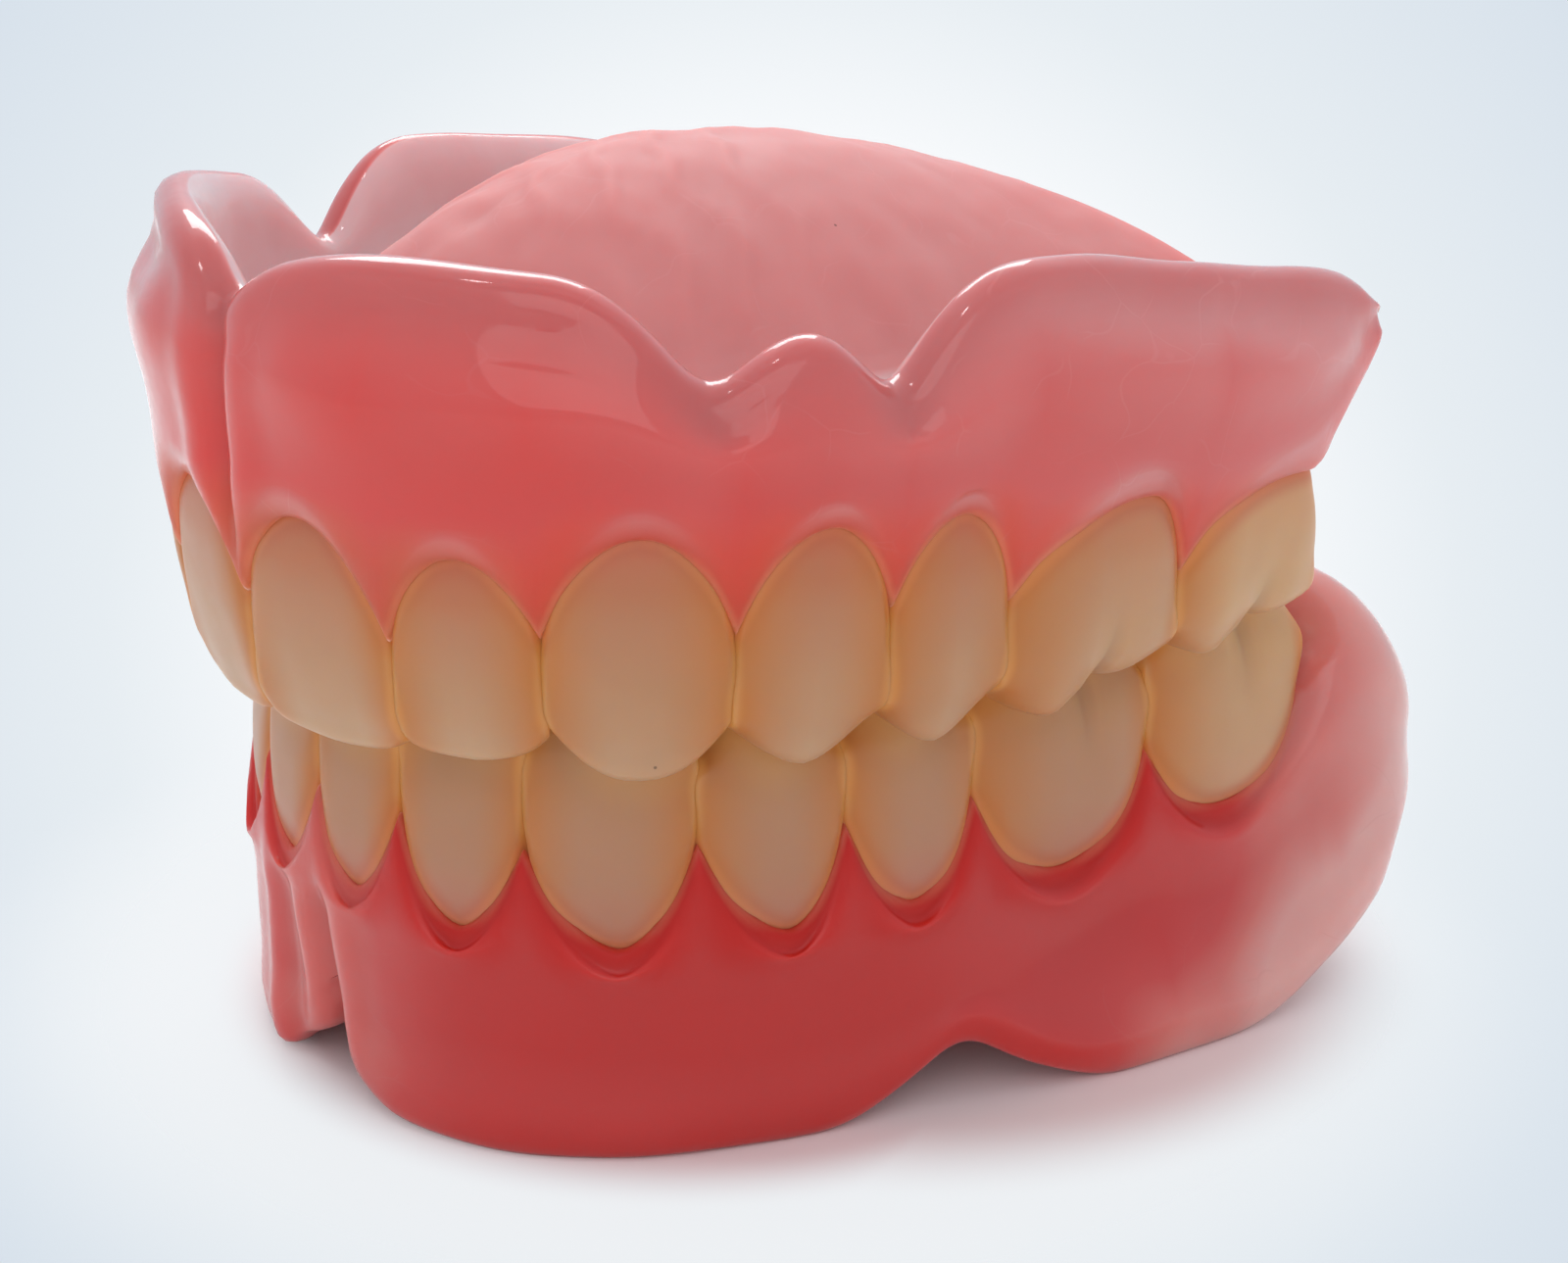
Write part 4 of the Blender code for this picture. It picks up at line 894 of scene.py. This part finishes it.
def buildSurfaceWear():
    made = bpy.data.node_groups.new("surfaceWear", "ShaderNodeTree")
    vectorIn = made.interface.new_socket("Vector", in_out="INPUT", socket_type="NodeSocketVector")
    vectorIn.hide_value = True
    for label, value in (("Mottle Scale", 160.0), ("Grain Scale", 700.0), ("Crazing", 0.0), ("Specks", 1.0)):
        made.interface.new_socket(label, in_out="INPUT", socket_type="NodeSocketFloat").default_value = value
    for label in ("Mottle", "Grain", "Lines", "Spots"):
        made.interface.new_socket(label, in_out="OUTPUT", socket_type="NodeSocketFloat")
    nodes, links = made.nodes, made.links
    given = nodes.new("NodeGroupInput")
    handed = nodes.new("NodeGroupOutput")
    mottle = nodes.new("ShaderNodeTexNoise")
    mottle.inputs["Detail"].default_value = 2
    grain = nodes.new("ShaderNodeTexNoise")
    grain.inputs["Detail"].default_value = 1
    for node, label in ((mottle, "Mottle Scale"), (grain, "Grain Scale")):
        links.new(given.outputs["Vector"], node.inputs["Vector"])
        links.new(given.outputs[label], node.inputs["Scale"])
    links.new(maskNode(nodes, links, mottle.outputs["Fac"], 0.3, 0.7), handed.inputs["Mottle"])
    links.new(grain.outputs["Fac"], handed.inputs["Grain"])
    bend = nodes.new("ShaderNodeMix")
    bend.data_type = "VECTOR"
    bend.inputs["Factor"].default_value = 0.006
    links.new(given.outputs["Vector"], bend.inputs["A"])
    links.new(mottle.outputs["Color"], bend.inputs["B"])
    bent = next(output for output in bend.outputs if output.type == "VECTOR")
    cracks = nodes.new("ShaderNodeTexVoronoi")
    cracks.feature = "DISTANCE_TO_EDGE"
    cracks.inputs["Scale"].default_value = 210
    links.new(bent, cracks.inputs["Vector"])
    line = maskNode(nodes, links, cracks.outputs["Distance"], 0.014, 0.003)
    patch = nodes.new("ShaderNodeTexNoise")
    patch.inputs["Scale"].default_value = 330
    patch.inputs["Detail"].default_value = 0
    links.new(given.outputs["Vector"], patch.inputs["Vector"])
    where = maskNode(nodes, links, patch.outputs["Fac"], 0.5, 0.62)
    line = mathNode(nodes, links, "MULTIPLY", line, where)
    line = mathNode(nodes, links, "MULTIPLY", line, given.outputs["Crazing"])
    links.new(line, handed.inputs["Lines"])
    dots = nodes.new("ShaderNodeTexVoronoi")
    dots.inputs["Scale"].default_value = 150
    links.new(given.outputs["Vector"], dots.inputs["Vector"])
    dot = maskNode(nodes, links, dots.outputs["Distance"], 0.014, 0.008)
    dot = mathNode(nodes, links, "MULTIPLY", dot, given.outputs["Specks"])
    links.new(dot, handed.inputs["Spots"])
    arrange(nodes)
    return made


def wearNode(nodes, links, wear):
    coordinates = nodes.new("ShaderNodeTexCoord")
    node = nodes.new("ShaderNodeGroup")
    node.node_tree = surfaceWear
    links.new(coordinates.outputs["Object"], node.inputs["Vector"])
    for label, value in wear.items():
        node.inputs[label].default_value = value
    return node.outputs


def acrylicMaterial(name, settings):
    made, nodes, links, shader = newMaterial(name)
    # Paler where the wall is thin: painted light shining through the plastic
    wall = attributeNode(nodes, "wall")
    thinWall = maskNode(nodes, links, wall, settings["thickWall"], settings["thinWall"])
    thin = mathNode(nodes, links, "MULTIPLY", thinWall, settings["wallShare"])
    thin = mathNode(nodes, links, "ADD", thin, attributeNode(nodes, "thin"))
    colour = rampNode(nodes, links, thin, settings["byThin"])
    near = attributeNode(nodes, "toothNear")
    rooted = mixColours(nodes, links, attributeNode(nodes, "frontTeeth"), settings["backRoot"],
                        settings["frontRoot"])
    through = maskNode(nodes, links, near, settings["rootReach"], settings["rootFull"])
    through = mathNode(nodes, links, "MULTIPLY", through, settings["rootShare"])
    hidden = maskNode(nodes, links, thin, settings["rootHidden"], 0.15)
    through = mathNode(nodes, links, "MULTIPLY", through, hidden)
    colour = mixColours(nodes, links, through, colour, rooted)
    touching = maskNode(nodes, links, near, settings["edgeReach"], 0.0)
    edge = mathNode(nodes, links, "MULTIPLY", touching, settings["edgeShare"])
    colour = mixColours(nodes, links, edge, colour, settings["edgeColour"])
    # Painted shade along the rolled rim: a darker, greyer band along its top
    border = mathNode(nodes, links, "MULTIPLY", attributeNode(nodes, "rimShadeMask"), settings["rimShadeShare"])
    colour = mixColours(nodes, links, border, colour, settings["rimShadeColour"])
    wear = wearNode(nodes, links, settings["wear"])
    shade = mathNode(nodes, links, "MULTIPLY", wear["Mottle"], settings["mottle"])
    colour = mixColours(nodes, links, shade, colour, settings["cloudColour"])
    marks = mathNode(nodes, links, "MULTIPLY", wear["Lines"], thin)
    marks = mathNode(nodes, links, "MULTIPLY", marks, settings["lines"])
    colour = mixColours(nodes, links, marks, colour, settings["lineColour"])
    colour = mixColours(nodes, links, wear["Spots"], colour, settings["speckColour"])
    links.new(colour, shader.inputs["Base Color"])
    lit = mixColours(nodes, links, touching, (0.0, 0.0, 0.0), settings["passedLight"])
    thinLit = mixColours(nodes, links, thin, (0.0, 0.0, 0.0), settings["thinLight"])
    lit = mixColours(nodes, links, 1.0, lit, thinLit, "ADD")
    links.new(lit, shader.inputs["Emission Color"])
    polished = attributeNode(nodes, "polished")
    rough = nodes.new("ShaderNodeMapRange")
    rough.inputs["To Min"].default_value = settings["roughTissue"]
    rough.inputs["To Max"].default_value = settings["roughPolished"]
    links.new(polished, rough.inputs["Value"])
    uneven = mathNode(nodes, links, "MULTIPLY", wear["Grain"], 0.12)
    links.new(mathNode(nodes, links, "ADD", rough.outputs["Result"], uneven), shader.inputs["Roughness"])
    apart = maskNode(nodes, links, near, 0.3, 1.6)
    gloss = mathNode(nodes, links, "MULTIPLY", polished, apart)
    links.new(mathNode(nodes, links, "MULTIPLY", gloss, settings["coat"]), shader.inputs["Coat Weight"])
    links.new(bumpNode(nodes, links, wear["Grain"], 0.22, 0.00012), shader.inputs["Normal"])
    for label, value in settings["shader"].items():
        shader.inputs[label].default_value = value
    arrange(nodes)
    return made


def toothMaterial(name, settings):
    made, nodes, links, shader = newMaterial(name)
    share = attributeNode(nodes, "crownShare")
    colour = rampNode(nodes, links, share, settings["byShare"])
    colour = mixColours(nodes, links, attributeNode(nodes, "pale"), colour, settings["paleColour"])
    # Painted light and shade near the gum: the neck takes on the gum's red, standing in for light passing
    # through the gum and the shade at the margin
    gum = attributeNode(nodes, "gumNear")
    gumRedLight = maskNode(nodes, links, gum, settings["gumReach"], 0.0)
    gumRedLight = mathNode(nodes, links, "MULTIPLY", gumRedLight, settings["gumRedLightShare"])
    colour = mixColours(nodes, links, gumRedLight, colour, settings["gumRedLightColour"])
    # Painted orange glow and shade toward the neighbouring teeth, standing in for light passing through the
    # teeth
    neighbour = attributeNode(nodes, "neighbour")
    between = maskNode(nodes, links, neighbour, settings["betweenReach"], 0.0)
    between = mathNode(nodes, links, "MULTIPLY", between, settings["between"])
    between = mathNode(nodes, links, "MAXIMUM", between, attributeNode(nodes, "amber"))
    colour = mixColours(nodes, links, between, colour, settings["contactGlowColour"])
    wear = wearNode(nodes, links, settings["wear"])
    shade = mathNode(nodes, links, "MULTIPLY", wear["Mottle"], settings["mottle"])
    colour = mixColours(nodes, links, shade, colour, settings["cloudColour"])
    colour = mixColours(nodes, links, wear["Spots"], colour, settings["speckColour"])
    links.new(colour, shader.inputs["Base Color"])
    touching = maskNode(nodes, links, neighbour, settings["lightReach"], 0.05)
    lit = mixColours(nodes, links, touching, (0.0, 0.0, 0.0), settings["passedLight"])
    gumTouch = maskNode(nodes, links, gum, settings["lightReach"], 0.05)
    lit = mixColours(nodes, links, gumTouch, lit, settings["gumLight"])
    facing = maskNode(nodes, links, attributeNode(nodes, "opposite"), settings["biteReach"], 0.2)
    biteLit = mixColours(nodes, links, facing, (0.0, 0.0, 0.0), settings["biteLight"])
    lit = mixColours(nodes, links, 1.0, lit, biteLit, "ADD")
    links.new(lit, shader.inputs["Emission Color"])
    uneven = mathNode(nodes, links, "MULTIPLY", wear["Grain"], 0.14)
    links.new(mathNode(nodes, links, "ADD", uneven, settings["rough"]), shader.inputs["Roughness"])
    links.new(bumpNode(nodes, links, wear["Grain"], 0.1, 0.0001), shader.inputs["Normal"])
    for label, value in settings["shader"].items():
        shader.inputs[label].default_value = value
    arrange(nodes)
    return made


surfaceWear = buildSurfaceWear()
# The rim colour is a painted shade along the rolled rim
acrylic = {
    "thinWall": 1.6, "thickWall": 4.0, "rimShadeColour": (0.43, 0.105, 0.102), "rimShadeShare": 0.75,
    "roughTissue": 0.55, "roughPolished": 0.32, "coat": 0.8, "mottle": 0.16, "lines": 0.5,
    "wear": {"Mottle Scale": 160.0, "Grain Scale": 700.0, "Crazing": 0.3, "Specks": 0.8},
    "speckColour": (0.12, 0.04, 0.03),
    "shader": {"IOR": 1.49, "Specular IOR Level": 0.2, "Coat Roughness": 0.035, "Subsurface Weight": 0.8,
               "Subsurface Radius": (1.0, 0.3, 0.25), "Subsurface Scale": 0.004, "Emission Strength": 1.0},
}
upperAcrylic = acrylicMaterial("upperAcrylic", {
    **acrylic,
    "byThin": [(0.0, (0.66, 0.052, 0.042)), (0.3, (0.62, 0.092, 0.084)), (0.6, (0.63, 0.165, 0.157)),
               (0.8, (0.655, 0.29, 0.285)), (1.0, (0.62, 0.44, 0.45))],
    "wallShare": 0.08,
    "rootReach": 2.0, "rootFull": 0.0, "rootShare": 0.8, "rootHidden": 1.6,
    "frontRoot": (0.58, 0.14, 0.06), "backRoot": (0.72, 0.092, 0.045),
    "edgeReach": 0.5, "edgeShare": 0.45, "edgeColour": (0.58, 0.19, 0.12),
    "passedLight": (0.16, 0.05, 0.018), "thinLight": (0.03, 0.015, 0.015),
    "cloudColour": (0.54, 0.055, 0.05), "lineColour": (0.70, 0.36, 0.35),
})
lowerAcrylic = acrylicMaterial("lowerAcrylic", {
    **acrylic,
    "byThin": [(0.0, (0.52, 0.018, 0.014)), (0.3, (0.54, 0.04, 0.036)), (0.6, (0.59, 0.14, 0.12)),
               (1.0, (0.65, 0.35, 0.32))],
    "wallShare": 0.15,
    "rootReach": 1.7, "rootFull": 0.9, "rootShare": 0.9, "rootHidden": 0.6,
    "frontRoot": (0.52, 0.014, 0.010), "backRoot": (0.52, 0.014, 0.010),
    "edgeReach": 0.4, "edgeShare": 0.65, "edgeColour": (0.46, 0.11, 0.06),
    "passedLight": (0.10, 0.02, 0.01), "thinLight": (0.03, 0.015, 0.014),
    "cloudColour": (0.45, 0.028, 0.026), "lineColour": (0.50, 0.20, 0.18),
})
# The gum red near the neck and the orange toward the neighbouring teeth are painted light and shade
resin = {
    "gumReach": 1.1, "gumRedLightShare": 0.75, "gumRedLightColour": (0.54, 0.12, 0.055),
    "betweenReach": 1.1, "between": 0.8, "contactGlowColour": (0.53, 0.175, 0.026),
    "lightReach": 0.5, "passedLight": (0.10, 0.05, 0.012), "gumLight": (0.10, 0.038, 0.014),
    "biteReach": 2.6, "biteLight": (0.115, 0.066, 0.02), "paleColour": (0.68, 0.45, 0.235),
    "cloudColour": (0.44, 0.21, 0.10), "mottle": 0.2, "rough": 0.28, "speckColour": (0.10, 0.05, 0.03),
    "wear": {"Mottle Scale": 220.0, "Grain Scale": 500.0, "Crazing": 0.0, "Specks": 0.7},
    "shader": {"IOR": 1.5, "Specular IOR Level": 0.35, "Subsurface Weight": 0.75,
               "Subsurface Radius": (1.0, 0.55, 0.3), "Subsurface Scale": 0.0022, "Emission Strength": 1.0},
}
upperResin = toothMaterial("upperResin", {
    **resin,
    "byShare": [(0.0, (0.55, 0.165, 0.085)), (0.2, (0.51, 0.185, 0.09)), (0.32, (0.51, 0.225, 0.118)),
                (0.6, (0.52, 0.28, 0.152)), (0.8, (0.54, 0.31, 0.175)), (1.0, (0.55, 0.36, 0.22))],
})
# The lower teeth go browner toward the biting edge: painted shade under the upper teeth, over the tooth's own
# colour from neck to edge
lowerResin = toothMaterial("lowerResin", {
    **resin,
    "byShare": [(0.0, (0.52, 0.20, 0.13)), (0.12, (0.49, 0.218, 0.145)), (0.3, (0.47, 0.236, 0.142)),
                (0.55, (0.48, 0.248, 0.138)), (0.75, (0.49, 0.25, 0.115)), (1.0, (0.48, 0.235, 0.10))],
})
print("materials made")

upperPiece.data.materials.append(upperAcrylic)
lowerPiece.data.materials.append(lowerAcrylic)
for piece in (upperPiece, lowerPiece):
    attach(piece, "root")
for piece in upperTeeth + lowerTeeth:
    piece.data.materials.append(upperResin if piece in upperTeeth else lowerResin)
    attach(piece, "root")

# Floor, background, lights and camera. The floor is darker inside the two discs, where its shadow shows with
# a painted pink cast, and fades out further off.

floor = {"size": 0.9, "colour": (0.88, 0.90, 0.915), "fadeFrom": 0.027, "fadeTo": 0.044,
         "shown": (0.88, 0.915, 0.94), "shownFar": 0.87, "tint": (0.86, 0.74, 0.75)}
shadowDiscs = [{"middle": (0.004, 0.009, 0.0), "nearTo": 0.022, "farFrom": 0.029},
               {"middle": (0.0, -0.002, 0.0), "nearTo": 0.021, "farFrom": 0.0255}]
bpy.ops.mesh.primitive_plane_add(size=floor["size"], location=(0.0, 0.0, 0.0))
floorPiece = bpy.context.object
floorPiece.name = "floor"
floorMaterial, nodes, links, shader = newMaterial("paleFloor")
shader.inputs["Roughness"].default_value = 0.6
shader.inputs["Specular IOR Level"].default_value = 0.1
clear = nodes.new("ShaderNodeBsdfTransparent")
blendShader = nodes.new("ShaderNodeMixShader")
coordinates = nodes.new("ShaderNodeTexCoord")
length = nodes.new("ShaderNodeVectorMath")
length.operation = "LENGTH"
links.new(coordinates.outputs["Object"], length.inputs[0])
fade = maskNode(nodes, links, length.outputs["Value"], floor["fadeFrom"], floor["fadeTo"])
lightPath = nodes.new("ShaderNodeLightPath")
seen = mathNode(nodes, links, "MULTIPLY", fade, lightPath.outputs["Is Camera Ray"])
links.new(seen, blendShader.inputs["Fac"])
pale = nodes.new("ShaderNodeEmission")
pale.inputs["Color"].default_value = (*floor["shown"], 1.0)
lit = nodes.new("ShaderNodeMixShader")
outward = 1.0
for disc in shadowDiscs:
    apart = nodes.new("ShaderNodeVectorMath")
    apart.operation = "DISTANCE"
    apart.inputs[1].default_value = disc["middle"]
    links.new(coordinates.outputs["Object"], apart.inputs[0])
    beyond = maskNode(nodes, links, apart.outputs["Value"], disc["nearTo"], disc["farFrom"])
    outward = mathNode(nodes, links, "MINIMUM", outward, beyond)
# Inside the discs the floor turns pink: painted pink light from the plastic falling into its shadow
shadowPinkBase = mixColours(nodes, links, outward, floor["tint"], floor["colour"])
links.new(shadowPinkBase, shader.inputs["Base Color"])
share = mathNode(nodes, links, "MULTIPLY", outward, floor["shownFar"])
share = mathNode(nodes, links, "MULTIPLY", share, lightPath.outputs["Is Camera Ray"])
links.new(share, lit.inputs["Fac"])
links.new(shader.outputs["BSDF"], lit.inputs[1])
links.new(pale.outputs["Emission"], lit.inputs[2])
links.new(lit.outputs["Shader"], blendShader.inputs[1])
links.new(clear.outputs["BSDF"], blendShader.inputs[2])
links.new(blendShader.outputs["Shader"], nodes["Material Output"].inputs["Surface"])
arrange(nodes)
floorPiece.data.materials.append(floorMaterial)

view = {"place": (0.09136, -0.07785, 0.05964), "azimuth": 48.18, "elevation": 19.41, "roll": 0.45,
        "lens": 56.70}
turn = (Matrix.Rotation(math.radians(view["azimuth"]), 3, "Z")
        @ Matrix.Rotation(math.radians(90 - view["elevation"]), 3, "X")
        @ Matrix.Rotation(math.radians(view["roll"]), 3, "Z"))
bpy.ops.object.camera_add(location=view["place"], rotation=turn.to_euler())
camera = bpy.context.object
camera.data.lens = view["lens"]
camera.data.sensor_width = 36.0
camera.data.clip_start = 0.002
camera.data.clip_end = 10.0
bpy.context.scene.camera = camera
toCamera = turn @ Vector((0.0, 0.0, 1.0))

world = bpy.data.worlds.new("paleRoom")
bpy.context.scene.world = world
world.use_nodes = True
nodes, links = world.node_tree.nodes, world.node_tree.links
background = nodes["Background"]
background.inputs["Color"].default_value = (0.95, 0.97, 1.0, 1.0)
background.inputs["Strength"].default_value = 0.78
# The background seen by the camera and in reflections is painted light: whitest round the middle of the view,
# bluer toward its edges
seenRoom = nodes.new("ShaderNodeBackground")
direction = nodes.new("ShaderNodeTexCoord")
facing = nodes.new("ShaderNodeVectorMath")
facing.operation = "DOT_PRODUCT"
facing.inputs[1].default_value = tuple(-toCamera)
links.new(direction.outputs["Generated"], facing.inputs[0])
spread = mathNode(nodes, links, "ARCCOSINE", facing.outputs["Value"], 0.0)
paleStops = [(0.0, (0.97, 0.98, 0.99)), (0.50, (0.93, 0.95, 0.97)), (0.68, (0.80, 0.85, 0.89)),
             (1.0, (0.68, 0.753, 0.831))]
links.new(rampNode(nodes, links, spread, paleStops, 0.0, 0.395), seenRoom.inputs["Color"])
lightPath = nodes.new("ShaderNodeLightPath")
blendRoom = nodes.new("ShaderNodeMixShader")
rays = lightPath.outputs
seen = mathNode(nodes, links, "MAXIMUM", rays["Is Camera Ray"], rays["Is Glossy Ray"])
seen = mathNode(nodes, links, "MAXIMUM", seen, rays["Is Transmission Ray"])
links.new(seen, blendRoom.inputs["Fac"])
links.new(background.outputs["Background"], blendRoom.inputs[1])
links.new(seenRoom.outputs["Background"], blendRoom.inputs[2])
links.new(blendRoom.outputs["Shader"], nodes["World Output"].inputs["Surface"])
arrange(nodes)

lamps = {
    "overhead": {"place": (-0.04, 0.03, 0.26), "aim": (0.0, 0.0, 0.03), "size": (0.34, 0.26), "power": 0.04},
    "fill": {"place": (0.17, -0.17, 0.15), "aim": (0.0, 0.0, 0.02), "size": (0.2, 0.2), "power": 0.11},
    "streak": {"place": (-0.15, 0.10, 0.19), "aim": (0.0, 0.0, 0.04), "size": (0.16, 0.09), "power": 0.28},
    "glint": {"place": (-0.02, -0.10, 0.26), "aim": (0.0, 0.0, 0.04), "size": (0.02, 0.02), "power": 0.02},
}
for name, lamp in lamps.items():
    aim = Vector(lamp["aim"]) - Vector(lamp["place"])
    turned = aim.to_track_quat("-Z", "Y").to_euler()
    bpy.ops.object.light_add(type="AREA", location=lamp["place"], rotation=turned)
    light = bpy.context.object
    light.name = name
    light.data.shape = "RECTANGLE"
    light.data.size, light.data.size_y = lamp["size"]
    light.data.energy = lamp["power"]

bpy.context.scene.view_settings.view_transform = "Standard"
print("floor, camera and lights placed")
